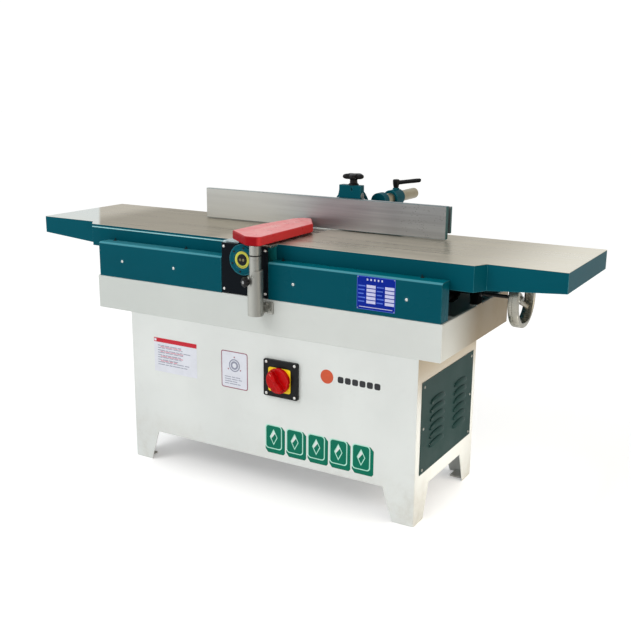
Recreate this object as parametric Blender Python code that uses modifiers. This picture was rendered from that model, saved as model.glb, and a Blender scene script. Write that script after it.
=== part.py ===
"""Surface planer (jointer) for wood: cabinet, bed, two sliding tables on rocker shafts, cutter block,
fence on a round bar, swinging block guard, motor and belt drive.

Metres, +Z up. +X is the infeed end, +Y the back. The origin is on the floor under the middle of the machine.
Depths written D_... are measured from the front plane of the bed, and become y through the function dy.
"""

import math

import bmesh
import bpy
from mathutils import Matrix, Vector

# Overall sizes
HALF_LENGTH = 1.0245        # each table end, from the middle
FRONT = -0.3560             # y of the bed's front plane
TABLE_TOP = 0.850
GAP = 0.0003                # between pieces that touch

# Cabinet and bed
CAB_X = (-0.5185, 0.6195)
CAB_D = (0.0, 0.486)
CAB_TOP = 0.554
SHEET = 0.003
FOOT_WIDTH = 0.073
FOOT_WIDTH_TOP = 0.112
SIDE_FOOT = 0.070
SIDE_FOOT_TOP = 0.110
FOOT_HEIGHT = 0.114
SOLE = 0.055
BED_X = (-0.6685, 0.6905)
BED_D = (0.0, 0.587)
BED_TOP = 0.674
BED_WALL = 0.008
BED_FLOOR = 0.566
WEB_FRONT = (0.095, 0.107)
WEB_REAR = (0.475, 0.487)

# Tables
PLATE_BOTTOM = 0.832
SKIRT = 0.014
SKIRT_BOTTOM = 0.769
TIP_BOTTOM = 0.788
D_TABLE_FRONT = 0.055
D_TIP_FRONT = 0.100
D_TABLE_BACK = 0.538
D_LIP_FRONT = 0.015
STEP_START = {1: 0.778, -1: 0.719}   # cutter axis to where the front edge starts to step back, by side
STEP_END = {1: 0.802, -1: 0.759}
CASTING_START = 0.060       # from the cutter axis
LIP_START = 0.030
LIP_END = 0.095
LIP_THICK = 0.008

# Table linkage: rocker shafts low in the bed, arms up to the tables' lugs
ROCKER_Z = 0.650
ROCKER_ARM = 0.100
ROCKER_TILT = math.radians(30)
ROCKER_X = (0.2085, 0.5485)  # lower shafts, from the cutter axis
LEVER = 0.061
LEVER_TILT = math.radians(4.1)
SHAFT_R = 0.012
TOP_SHAFT_R = 0.010
D_SCREW = 0.303
SCREW_R = 0.006
WHEEL_X = 0.812
WHEEL_R = 0.092
WHEEL_WIDTH = 0.034

# Cutter block and drive
CUTTER_X = -0.0185
CUTTER_Z = 0.797
BLOCK_R = 0.051
KNIFE_R = 0.053
D_BLOCK = (0.070, 0.480)
KNIVES = 3
JOURNAL_R = 0.0125
BEARING_R = 0.026
D_PULLEY = (0.547, 0.576)
CUTTER_PULLEY_R = 0.036
MOTOR_PULLEY_R = 0.070
MOTOR_Z = 0.270
BELT_DEPTH = 0.009

# Guard
POST_X = 0.0565
D_POST = -0.045
POST_R = 0.0195
SLEEVE_R = 0.026
KNOB_TURN = math.radians(72)   # turn of the locking knob about the post, from pointing along -X
GUARD_Z = (0.858, 0.888)

# Fence
FENCE_X = (-0.4725, 0.5210)
D_FENCE = (0.405, 0.425)
FENCE_Z = (0.8535, 0.966)
D_PIN = 0.437
PIN_Z = 0.865
BAR_X = 0.2165
BAR_Z = 0.952
BAR_R = 0.020
BAR_SLEEVE_R = 0.030
D_BAR = (0.5103, 0.810)
QUADRANT = (0.128, 0.140)
KNOB_X = 0.1505

# Switch
SWITCH_X = 0.1275
SWITCH_Z = 0.4085

# Sides of round pieces, by size
LARGE = 28
MEDIUM = 20
SMALL = 12


def dy(depth):
    """World y of a depth behind the bed's front plane."""
    return FRONT + depth


def remove_all():
    for old in list(bpy.data.objects):
        bpy.data.objects.remove(old, do_unlink=True)


def new_collection(name):
    collection = bpy.data.collections.new(name)
    bpy.context.scene.collection.children.link(collection)
    return collection


remove_all()
PARTS = new_collection("jointer")
CUTTERS = new_collection("cutters")
CUTTERS.hide_render = True


def material(name, colour, roughness, metallic):
    mat = bpy.data.materials.new(name)
    mat.use_nodes = True
    shader = mat.node_tree.nodes["Principled BSDF"]
    shader.inputs["Base Color"].default_value = (*colour, 1.0)
    shader.inputs["Roughness"].default_value = roughness
    shader.inputs["Metallic"].default_value = metallic
    mat.diffuse_color = (*colour, 1.0)
    return mat


def finish(obj, mat, smooth=True):
    """Give a piece its material and its shading, and keep it in the jointer's collection."""
    own = mat.copy()
    own.name = obj.name + "_" + mat.name
    obj.data.materials.clear()
    obj.data.materials.append(own)
    if smooth:
        obj.data.shade_smooth()
        obj.data.set_sharp_from_angle(angle=math.radians(35))
    return obj


def mesh_object(name, bm, collection=None):
    mesh = bpy.data.meshes.new(name)
    bm.to_mesh(mesh)
    bm.free()
    obj = bpy.data.objects.new(name, mesh)
    (collection or PARTS).objects.link(obj)
    return obj


def box(name, xs, ys, zs, bevel=0.0, segments=2, edges=None, collection=None):
    """A block between two corners. Edges chosen by a test on their two ends can be rounded."""
    bm = bmesh.new()
    bmesh.ops.create_cube(bm, size=1.0)
    size = Vector((xs[1] - xs[0], ys[1] - ys[0], zs[1] - zs[0]))
    centre = Vector((xs[1] + xs[0], ys[1] + ys[0], zs[1] + zs[0])) / 2
    for vert in bm.verts:
        vert.co = Vector((vert.co.x * size.x, vert.co.y * size.y, vert.co.z * size.z)) + centre
    if bevel:
        chosen = [e for e in bm.edges if edges is None or edges(e.verts[0].co, e.verts[1].co)]
        bmesh.ops.bevel(bm, geom=chosen, offset=bevel, segments=segments, profile=0.5, affect="EDGES")
    return mesh_object(name, bm, collection)


def along(axis):
    """Rotation that turns +Z to the named axis."""
    if axis == "X":
        return Matrix.Rotation(math.radians(90), 4, "Y")
    if axis == "Y":
        return Matrix.Rotation(math.radians(-90), 4, "X")
    return Matrix.Identity(4)


def cylinder(name, axis, centre, radius, start, end, segments=LARGE, radius_end=None, collection=None):
    """A round bar along an axis, from start to end. The centre gives the other two coordinates."""
    bm = bmesh.new()
    top = radius if radius_end is None else radius_end
    bmesh.ops.create_cone(bm, cap_ends=True, segments=segments, radius1=radius, radius2=top,
                          depth=end - start)
    middle = Vector(centre)
    middle["XYZ".index(axis)] = (start + end) / 2
    bmesh.ops.transform(bm, matrix=Matrix.Translation(middle) @ along(axis), verts=bm.verts)
    return mesh_object(name, bm, collection)


def plate(name, axis, outline, start, end, holes=(), collection=None):
    """A flat outline, with holes, as thick as start to end along an axis.

    The outline is in (x, y) for Z, in (x, z) for Y and in (y, z) for X.
    """
    curve = bpy.data.curves.new(name + "_outline", "CURVE")
    curve.dimensions = "2D"
    curve.fill_mode = "BOTH"
    curve.extrude = (end - start) / 2
    for ring in (outline, *holes):
        spline = curve.splines.new("POLY")
        spline.points.add(len(ring) - 1)
        spline.use_cyclic_u = True
        for point, (u, v) in zip(spline.points, ring):
            point.co = (u, v, 0.0, 1.0)
    drawn = bpy.data.objects.new(name + "_outline", curve)
    bpy.context.scene.collection.objects.link(drawn)
    bpy.context.view_layer.update()
    mesh = bpy.data.meshes.new_from_object(drawn.evaluated_get(bpy.context.evaluated_depsgraph_get()))
    bpy.data.objects.remove(drawn, do_unlink=True)
    middle = (start + end) / 2
    if axis == "X":
        turn = Matrix(((0, 0, 1, middle), (1, 0, 0, 0), (0, 1, 0, 0), (0, 0, 0, 1)))
    elif axis == "Y":
        turn = Matrix(((1, 0, 0, 0), (0, 0, -1, middle), (0, 1, 0, 0), (0, 0, 0, 1)))
    else:
        turn = Matrix.Translation((0, 0, middle))
    bm = bmesh.new()
    bm.from_mesh(mesh)
    bmesh.ops.remove_doubles(bm, verts=bm.verts, dist=1e-6)
    bmesh.ops.transform(bm, matrix=turn, verts=bm.verts)
    bpy.data.meshes.remove(mesh)
    return mesh_object(name, bm, collection)


def turned(name, axis, centre, profile, segments=LARGE, collection=None):
    """A turned piece: profile points are (radius, height), the outer side listed from top to bottom."""
    bm = bmesh.new()
    verts = [bm.verts.new((radius, 0.0, height)) for radius, height in profile]
    for first, second in zip(verts, verts[1:]):
        bm.edges.new((first, second))
    if profile[0][0] > 1e-6:
        bm.edges.new((verts[-1], verts[0]))
    obj = mesh_object(name, bm, collection)
    spin = obj.modifiers.new("Screw", "SCREW")
    spin.axis = "Z"
    spin.steps = segments
    spin.render_steps = segments
    spin.use_merge_vertices = True
    spin.merge_threshold = 0.00005
    obj.matrix_world = Matrix.Translation(Vector(centre)) @ along(axis)
    return obj


def boolean(obj, other, operation):
    """Cut or join with another body, which stays as a guide among the cutters."""
    for collection in list(other.users_collection):
        collection.objects.unlink(other)
    CUTTERS.objects.link(other)
    other.name = "tool_" + other.name
    other.hide_render = True
    other.display_type = "WIRE"
    step = obj.modifiers.new(operation.title(), "BOOLEAN")
    step.operation = operation
    step.solver = "EXACT"
    step.object = other
    return obj


def cut(obj, *others):
    for other in others:
        boolean(obj, other, "DIFFERENCE")
    return obj


def join(obj, *others):
    for other in others:
        boolean(obj, other, "UNION")
    return obj


def pivot(name, location):
    """An empty on a joint's axis, which carries the pieces that move with it."""
    empty = bpy.data.objects.new(name, None)
    empty.empty_display_size = 0.05
    empty.location = location
    PARTS.objects.link(empty)
    return empty


def carry(empty, *pieces):
    """Parent pieces to a pivot without moving them."""
    for piece in pieces:
        piece.parent = empty
        piece.matrix_parent_inverse = Matrix.Translation(empty.location).inverted()


def arc(cx, cy, radius, start, end, count):
    """Points on an arc, angles in degrees."""
    points = []
    for step in range(count + 1):
        angle = math.radians(start + (end - start) * step / count)
        points.append((cx + radius * math.cos(angle), cy + radius * math.sin(angle)))
    return points


def circle(cx, cy, radius, count=LARGE):
    return arc(cx, cy, radius, 0, 360 * (count - 1) / count, count - 1)


def rectangle(u0, u1, v0, v1):
    return [(u0, v0), (u1, v0), (u1, v1), (u0, v1)]


def rounded(corners, radii, steps=4):
    """A closed outline with its corners rounded, listed anticlockwise."""
    points = []
    count = len(corners)
    for index, (corner, radius) in enumerate(zip(corners, radii)):
        here = Vector(corner)
        before = (Vector(corners[index - 1]) - here).normalized()
        after = (Vector(corners[(index + 1) % count]) - here).normalized()
        half = before.angle(after) / 2
        reach = radius / math.tan(half)
        middle = here + (before + after).normalized() * (radius / math.sin(half))
        first = here + before * reach - middle
        last = here + after * reach - middle
        turn = first.angle_signed(last)
        for step in range(steps + 1):
            angle = -turn * step / steps
            spoke = Vector((first.x * math.cos(angle) - first.y * math.sin(angle),
                            first.x * math.sin(angle) + first.y * math.cos(angle)))
            points.append(tuple(middle + spoke))
    return points


def link(low, high, low_r, high_r, steps=5):
    """Outline of an arm with round ends, from a low centre to a high one."""
    lean = math.degrees(math.atan2(high[1] - low[1], high[0] - low[0]))
    points = arc(low[0], low[1], low_r, lean + 90, lean + 270, steps)
    points += arc(high[0], high[1], high_r, lean - 90, lean + 90, steps)
    return points


def star(cx, cy, inner, outer, lobes, per_lobe):
    """Outline of a lobed knob."""
    points = []
    count = lobes * per_lobe
    for step in range(count):
        angle = 2 * math.pi * step / count
        radius = inner + (outer - inner) * (0.5 + 0.5 * math.cos(lobes * angle)) ** 0.6
        points.append((cx + radius * math.cos(angle), cy + radius * math.sin(angle)))
    return points


WHITE = material("white_paint", (0.75, 0.76, 0.77), 0.45, 0.0)
TEAL = material("teal_paint", (0.0, 0.085, 0.11), 0.35, 0.0)
BLACK = material("black_paint", (0.02, 0.02, 0.025), 0.4, 0.0)
PLASTIC = material("black_plastic", (0.015, 0.015, 0.015), 0.35, 0.0)
RED = material("red_paint", (0.5, 0.01, 0.02), 0.35, 0.0)
YELLOW = material("yellow_plastic", (0.8, 0.6, 0.02), 0.4, 0.0)
IRON = material("machined_iron", (0.5, 0.47, 0.43), 0.25, 1.0)
STEEL = material("brushed_steel", (0.6, 0.6, 0.58), 0.3, 1.0)
CAST = material("dark_cast_iron", (0.12, 0.12, 0.12), 0.6, 0.6)
RUBBER = material("belt_rubber", (0.02, 0.02, 0.02), 0.8, 0.0)


def make_cabinet():
    """Sheet steel stand: hollow, open below, notched into four feet with sole plates."""
    x0, x1 = CAB_X
    y0, y1 = dy(CAB_D[0]), dy(CAB_D[1])
    body = box("cabinet", CAB_X, (y0, y1), (0.0, CAB_TOP), 0.006, 2,
               lambda a, b: abs(a.z - b.z) > 0.1 and a.y < -0.2)
    cut(body, box("cabinet_hollow", (x0 + SHEET, x1 - SHEET), (y0 + SHEET, y1 - SHEET),
                  (-0.01, CAB_TOP - 0.004)))
    long_notch = [(x0 + FOOT_WIDTH, -0.01), (x1 - FOOT_WIDTH, -0.01),
                  (x1 - FOOT_WIDTH_TOP, FOOT_HEIGHT), (x0 + FOOT_WIDTH_TOP, FOOT_HEIGHT)]
    side_notch = [(y0 + SIDE_FOOT, -0.01), (y1 - SIDE_FOOT, -0.01),
                  (y1 - SIDE_FOOT_TOP, FOOT_HEIGHT), (y0 + SIDE_FOOT_TOP, FOOT_HEIGHT)]
    cut(body, plate("long_notch", "Y", long_notch, y0 - 0.01, y1 + 0.01))
    cut(body, plate("side_notch", "X", side_notch, x0 - 0.01, x1 + 0.01))
    chip_x = (CUTTER_X - 0.075, CUTTER_X + 0.075)
    cut(body, box("cabinet_chip_hole", chip_x, (dy(0.12), dy(0.46)), (0.54, 0.56)))
    cut(body, box("vent_hole", (x1 - 0.01, x1 + 0.01), (dy(0.045), dy(0.441)), (0.181, 0.456)))
    cut(body, cylinder("port_hole", "X", (0, dy(0.29), 0.300), 0.0555, x0 - 0.01, x0 + 0.01))
    cut(body, cylinder("motor_hole", "Y", (CUTTER_X, 0, MOTOR_Z), 0.030, y1 - 0.01, y1 + 0.01, MEDIUM))
    cut(body, cylinder("switch_hole", "Y", (SWITCH_X, 0, SWITCH_Z), 0.008, y0 - 0.01, y0 + 0.01, SMALL))
    for name, xs in (("l", (x0 + 0.002, x0 + SOLE)), ("r", (x1 - SOLE, x1 - 0.002))):
        for side, ys in (("f", (y0 + 0.002, y0 + SOLE)), ("b", (y1 - SOLE, y1 - 0.002))):
            join(body, box("sole_" + name + side, xs, ys, (0.0, 0.006)))
    return finish(body, WHITE)


def make_louvre_panel():
    """Screwed-on vent panel on the right side, with two columns of slots."""
    x0 = CAB_X[1] + GAP
    slots = []
    for low, high in ((0.100, 0.206), (0.295, 0.393)):
        for row in range(6):
            z = 0.245 + 0.029 * row
            corners = rectangle(dy(low), dy(high), z - 0.003, z + 0.003)
            slots.append(corners)
    body = plate("louvre_panel", "X", rectangle(dy(0.029), dy(0.457), 0.165, 0.472), x0, x0 + 0.002, slots)
    return finish(body, TEAL, smooth=False)


def rocker_points(side):
    """(x, z) of the lower and upper centres of the two rockers on one side of the cutter."""
    points = []
    for offset in ROCKER_X:
        low = CUTTER_X + side * offset
        high = low + side * ROCKER_ARM * math.sin(ROCKER_TILT)
        points.append(((low, ROCKER_Z), (high, ROCKER_Z + ROCKER_ARM * math.cos(ROCKER_TILT))))
    return points


def nut_point(side):
    """(x, z) where the adjusting screw crosses the lever of the outer rocker."""
    low = rocker_points(side)[1][0]
    return low[0] - side * LEVER * math.sin(LEVER_TILT), low[1] + LEVER * math.cos(LEVER_TILT)


def make_bed():
    """Open cast box on the cabinet, with two long webs, bearing pedestals and screw bosses."""
    body = box("bed_frame", BED_X, (dy(BED_D[0]), dy(BED_D[1])), (CAB_TOP + GAP, BED_TOP), 0.004, 2,
               lambda a, b: abs(a.x - b.x) < 1e-6 or a.z > 0.6 and b.z > 0.6 and a.y < -0.3 and b.y < -0.3)
    bays = ((BED_WALL, WEB_FRONT[0]), (WEB_FRONT[1], WEB_REAR[0]), (WEB_REAR[1], BED_D[1] - BED_WALL))
    for index, (near, far) in enumerate(bays):
        inside = (BED_X[0] + BED_WALL, BED_X[1] - BED_WALL)
        cut(body, box("bay_%d" % index, inside, (dy(near), dy(far)), (BED_FLOOR, BED_TOP + 0.01)))
    chip_x = (CUTTER_X - 0.075, CUTTER_X + 0.075)
    cut(body, box("bed_chip_hole", chip_x, (dy(0.12), dy(0.46)), (0.54, 0.58)))
    belt_x = (CUTTER_X - 0.066, CUTTER_X + 0.066)
    cut(body, box("belt_hole", belt_x, (dy(0.540), dy(0.5795)), (0.54, 0.58)))
    foot_x = (CUTTER_X - 0.055, CUTTER_X + 0.055)
    join(body, box("pedestal_front", foot_x, (dy(0.020), dy(0.100)), (0.560, 0.720)))
    join(body, box("pedestal_rear", foot_x, (dy(0.482), dy(0.530)), (0.560, 0.720)))
    for side in (-1, 1):
        wall = BED_X[1] if side > 0 else BED_X[0]
        xs = tuple(sorted((wall, wall - side * 0.0255)))
        screw_z = nut_point(side)[1]
        join(body, box("boss_%d" % side, xs, (dy(D_SCREW - 0.020), dy(D_SCREW + 0.020)), (0.560, 0.731)))
        cut(body, cylinder("boss_bore_%d" % side, "X", (0, dy(D_SCREW), screw_z), SCREW_R + 0.0005,
                           xs[0] - 0.01, xs[1] + 0.01, SMALL))
        for index, (low, _high) in enumerate(rocker_points(side)):
            cut(body, cylinder("journal_%d_%d" % (side, index), "Y", (low[0], 0, low[1]), SHAFT_R + GAP,
                               dy(0.090), dy(0.492), 16))
    for index, x in enumerate((-0.5485, -0.3155, 0.1715, 0.5715)):
        join(body, box("cover_lug_%d" % index, (x - 0.012, x + 0.012), (dy(0.0031), dy(0.012)),
                       (0.60, 0.760)))
        join(body, box("rear_lug_%d" % index, (x - 0.012, x + 0.012), (dy(0.575), dy(0.5839)), (0.60, 0.760)))
    return finish(body, WHITE)


def make_cover(name, xs, front):
    """Folded sheet cover beside a table: upright face, ledge and closed ends."""
    top = 0.798
    sheet = 0.0025
    depths = (0.0, 0.052) if front else (0.541, 0.587)
    hollow = (sheet, 0.060) if front else (0.530, 0.587 - sheet)
    outer = dy(0.0) if front else dy(0.587)
    body = box(name, xs, (dy(depths[0]), dy(depths[1])), (BED_TOP + 0.0005, top), 0.006, 3,
               lambda a, b: abs(a.z - top) < 1e-6 and abs(b.z - top) < 1e-6
               and abs(a.y - outer) < 1e-6 and abs(b.y - outer) < 1e-6)
    cut(body, box(name + "_hollow", (xs[0] + sheet, xs[1] - sheet), (dy(hollow[0]), dy(hollow[1])),
                  (BED_TOP - 0.01, top - sheet)))
    return finish(body, TEAL)


def make_front_bearing_plate():
    xs = (-0.1085, 0.0735)
    hole = circle(CUTTER_X, CUTTER_Z, 0.018, MEDIUM)
    body = plate("bearing_plate_front", "Y", rectangle(xs[0], xs[1], 0.677, 0.846),
                 dy(0.0), dy(0.006), [hole])
    return finish(body, BLACK, smooth=False)


def make_front_bearing_cap():
    """Turned cap over the front bearing, open in the middle for the end of the shaft."""
    body = turned("bearing_cap_front", "Y", (CUTTER_X, dy(-0.0123), CUTTER_Z),
                  [(0.018, 0.012), (0.052, 0.012), (0.052, 0.003),
                   (0.049, 0.0), (0.033, 0.0), (0.018, 0.0015)])
    return finish(body, TEAL)


def make_housing(name, near, far):
    """Bearing block bolted on its pedestal, with a domed top and a bore through it."""
    half = 0.045
    low = 0.720 + GAP
    shape = [(CUTTER_X - half, low), (CUTTER_X + half, low), (CUTTER_X + half, 0.745)]
    shape += arc(CUTTER_X, CUTTER_Z, 0.034, -20, 200, 12)
    shape += [(CUTTER_X - half, 0.745)]
    body = plate(name, "Y", shape, dy(near), dy(far), [circle(CUTTER_X, CUTTER_Z, BEARING_R + GAP)])
    return finish(body, CAST)


def make_bearing(name, near, far):
    ring = circle(CUTTER_X, CUTTER_Z, BEARING_R)
    bore = circle(CUTTER_X, CUTTER_Z, JOURNAL_R + GAP, MEDIUM)
    return finish(plate(name, "Y", ring, dy(near), dy(far), [bore]), STEEL)


def make_cutter_block():
    """Solid cutter block with its journals, slotted along its length for the knives."""
    centre = (CUTTER_X, 0, CUTTER_Z)
    body = cylinder("cutter_block", "Y", centre, BLOCK_R, dy(D_BLOCK[0]), dy(D_BLOCK[1]), 36)
    join(body, cylinder("journal_front", "Y", centre, JOURNAL_R, dy(-0.006), dy(D_BLOCK[0] + 0.002), MEDIUM))
    join(body, cylinder("journal_rear", "Y", centre, JOURNAL_R, dy(D_BLOCK[1] - 0.002), dy(0.579), MEDIUM))
    for index in range(KNIVES):
        slot = box("slot_%d" % index, (-0.0060, 0.0060), (dy(D_BLOCK[0] - 0.01), dy(D_BLOCK[1] + 0.01)),
                   (BLOCK_R - 0.018, BLOCK_R + 0.01))
        turn = Matrix.Rotation(knife_angle(index), 4, "Y")
        slot.data.transform(Matrix.Translation((CUTTER_X, 0, CUTTER_Z)) @ turn)
        cut(body, slot)
    return finish(body, STEEL)


def knife_angle(index):
    """Turn of a knife about the cutter's axis. No knife stands straight up at rest."""
    return math.radians(60 + 360 * index / KNIVES)


def make_knife(index):
    """Flat knife with a ground edge, seated against one wall of its slot."""
    left = -0.0057
    base = BLOCK_R - 0.018 + GAP
    tip = KNIFE_R - 0.0001
    outline = [(left, base), (left + 0.003, base), (left + 0.003, tip - 0.0035), (left, tip)]
    body = plate("knife_%d" % (index + 1), "Y", outline, dy(D_BLOCK[0] + 0.001), dy(D_BLOCK[1] - 0.001))
    turn = Matrix.Rotation(knife_angle(index), 4, "Y")
    body.data.transform(Matrix.Translation((CUTTER_X, 0, CUTTER_Z)) @ turn)
    return finish(body, IRON, smooth=False)


def pulley_profile(radius, bore):
    """Two-groove pulley seen in half section, outer side from top to bottom."""
    width = D_PULLEY[1] - D_PULLEY[0]
    root = radius - BELT_DEPTH - 0.001
    groove = 0.0105
    land = (width - 2 * groove) / 3
    points = [(bore, width), (radius, width), (radius, width - land), (root, width - land - 0.0012)]
    points += [(root, width - land - groove + 0.0012), (radius, width - land - groove)]
    points += [(radius, width - 2 * land - groove), (root, width - 2 * land - groove - 0.0012)]
    points += [(root, land + 0.0012), (radius, land), (radius, 0.0), (bore, 0.0)]
    return points


def make_cutter_pulley():
    centre = (CUTTER_X, dy(D_PULLEY[0]), CUTTER_Z)
    body = turned("cutter_pulley", "Y", centre, pulley_profile(CUTTER_PULLEY_R, JOURNAL_R + GAP), MEDIUM)
    return finish(body, CAST)


def make_motor_rotor():
    """Motor pulley and the shaft it is keyed to."""
    centre = (CUTTER_X, dy(D_PULLEY[0]), MOTOR_Z)
    body = turned("motor_pulley", "Y", centre, pulley_profile(MOTOR_PULLEY_R, JOURNAL_R + GAP), MEDIUM)
    shaft = cylinder("motor_shaft", "Y", (CUTTER_X, 0, MOTOR_Z), JOURNAL_R, dy(0.4403), dy(0.579), MEDIUM)
    return finish(body, CAST), finish(shaft, STEEL)


def make_belt(name, groove):
    """One V belt round both pulleys, drawn as an outline with its inner side as a hole."""
    width = D_PULLEY[1] - D_PULLEY[0]
    room = 0.0105
    land = (width - 2 * room) / 3
    start = D_PULLEY[0] + land + groove * (land + room) + 0.0017
    end = start + room - 0.0034
    small = CUTTER_PULLEY_R - BELT_DEPTH - 0.0004
    large = MOTOR_PULLEY_R - BELT_DEPTH - 0.0004
    lean = math.degrees(math.asin((large - small) / (CUTTER_Z - MOTOR_Z)))
    rings = []
    for extra in (BELT_DEPTH - 0.001, 0.0):
        ring = arc(CUTTER_X, CUTTER_Z, small + extra, lean, 180 - lean, 8)
        ring += arc(CUTTER_X, MOTOR_Z, large + extra, 180 - lean, 360 + lean, 12)
        rings.append(ring)
    body = plate(name, "Y", rings[0], dy(start), dy(end), [rings[1]])
    return finish(body, RUBBER)


def make_motor():
    """Foot-mounted motor: ribbed barrel, fan cowl, feet and a terminal box."""
    centre = (CUTTER_X, 0, MOTOR_Z)
    body = cylinder("motor_body", "Y", centre, 0.084, dy(0.190), dy(0.440), MEDIUM)
    join(body, cylinder("motor_cowl", "Y", centre, 0.088, dy(0.130), dy(0.195), MEDIUM))
    join(body, box("motor_feet", (CUTTER_X - 0.085, CUTTER_X + 0.085), (dy(0.220), dy(0.400)),
                   (0.168, 0.205)))
    join(body, box("motor_box", (CUTTER_X + 0.070, CUTTER_X + 0.130), (dy(0.250), dy(0.350)), (0.235, 0.330)))
    return finish(body, TEAL)


def make_motor_mount():
    """Motor plate on two rails that span the cabinet."""
    body = box("motor_mount", (CUTTER_X - 0.125, CUTTER_X + 0.125), (dy(0.170), dy(0.430)), (0.1575, 0.1677))
    for side in (-1, 1):
        x = CUTTER_X + side * 0.095
        join(body, box("rail_%d" % side, (x - 0.015, x + 0.015), (dy(0.0033), dy(0.4827)), (0.128, 0.160)))
    return finish(body, CAST, smooth=False)


def make_chute():
    """Sheet hopper under the cutter, sloping to the outlet in the cabinet's left side."""
    top = CAB_TOP - 0.004 - GAP
    left = CAB_X[0] + SHEET + GAP
    wall = 0.0025
    shape = [(left, 0.225), (CUTTER_X + 0.085, 0.500), (CUTTER_X + 0.085, top),
             (CUTTER_X - 0.085, top), (left, 0.375)]
    hollow = [(left + wall, 0.225 + 2 * wall), (CUTTER_X + 0.085 - wall, 0.500 + 1.6 * wall),
              (CUTTER_X + 0.085 - wall, top + 0.01), (CUTTER_X - 0.085 + wall, top + 0.01),
              (CUTTER_X - 0.085 + wall, top - wall), (left + wall, 0.375 - wall)]
    body = plate("chip_chute", "Y", shape, dy(0.105), dy(0.475))
    cut(body, plate("chute_hollow", "Y", hollow, dy(0.105) + wall, dy(0.475) - wall))
    cut(body, cylinder("chute_outlet", "X", (0, dy(0.29), 0.300), 0.0555, left - 0.01, left + 0.01))
    return finish(body, CAST, smooth=False)


def make_dust_port():
    """Round spigot on a square flange, for an extraction hose."""
    x = CAB_X[0] - GAP
    flange = rectangle(dy(0.21), dy(0.37), 0.220, 0.380)
    body = plate("dust_port", "X", flange, x - 0.003, x, [circle(dy(0.29), 0.300, 0.0550)])
    ring = circle(dy(0.29), 0.300, 0.0580)
    join(body, plate("spigot", "X", ring, x - 0.060, x - 0.0005, [circle(dy(0.29), 0.300, 0.0550)]))
    return finish(body, CAST)


def make_belt_guard():
    """Sheet box over the belts behind the cabinet, open to the cabinet and to the bed above."""
    xs = (CUTTER_X - 0.088, CUTTER_X + 0.088)
    body = box("belt_guard", xs, (dy(CAB_D[1]) + GAP, dy(0.584)), (0.170, CAB_TOP), 0.006, 2,
               lambda a, b: abs(a.z - b.z) > 0.1 and a.y > 0.2)
    cut(body, box("belt_guard_hollow", (xs[0] + 0.002, xs[1] - 0.002), (dy(0.470), dy(0.582)), (0.172, 0.60)))
    return finish(body, TEAL)


def make_pulley_cover():
    """Cap over the cutter's pulley, on the back of the bed."""
    xs = (CUTTER_X - 0.057, CUTTER_X + 0.057)
    body = box("pulley_cover", xs, (dy(0.5410), dy(0.5865)), (BED_TOP + 0.0005, 0.845), 0.006, 2,
               lambda a, b: a.z > 0.8 and b.z > 0.8 and abs(a.x - b.x) < 1e-6)
    cut(body, box("pulley_cover_hollow", (xs[0] + 0.002, xs[1] - 0.002), (dy(0.543), dy(0.5845)),
                  (0.66, 0.843)))
    cut(body, cylinder("pulley_cover_hole", "Y", (CUTTER_X, 0, CUTTER_Z), 0.018,
                       dy(0.535), dy(0.550), MEDIUM))
    return finish(body, TEAL)


def table_outline(side):
    """Plan of one casting: wide near the cutter, its front edge stepping back towards the tip."""
    inner = CUTTER_X + side * CASTING_START
    start = CUTTER_X + side * STEP_START[side]
    end = CUTTER_X + side * STEP_END[side]
    points = [(inner, dy(D_TABLE_FRONT)), (start, dy(D_TABLE_FRONT)),
              (end, dy(D_TIP_FRONT)), (side * HALF_LENGTH, dy(D_TIP_FRONT)),
              (side * HALF_LENGTH, dy(D_TABLE_BACK)), (inner, dy(D_TABLE_BACK))]
    return points if side > 0 else points[::-1]


def table_hollow(side):
    """Plan of the space inside the casting's skirt."""
    inner = CUTTER_X + side * (CASTING_START + SKIRT)
    tip = side * (HALF_LENGTH - SKIRT)
    start = CUTTER_X + side * (STEP_START[side] - 0.006)
    end = CUTTER_X + side * (STEP_END[side] - 0.006)
    points = [(inner, dy(D_TABLE_FRONT + SKIRT)), (start, dy(D_TABLE_FRONT + SKIRT)),
              (end, dy(D_TIP_FRONT + SKIRT)), (tip, dy(D_TIP_FRONT + SKIRT)),
              (tip, dy(D_TABLE_BACK - SKIRT)), (inner, dy(D_TABLE_BACK - SKIRT))]
    return points if side > 0 else points[::-1]


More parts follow.
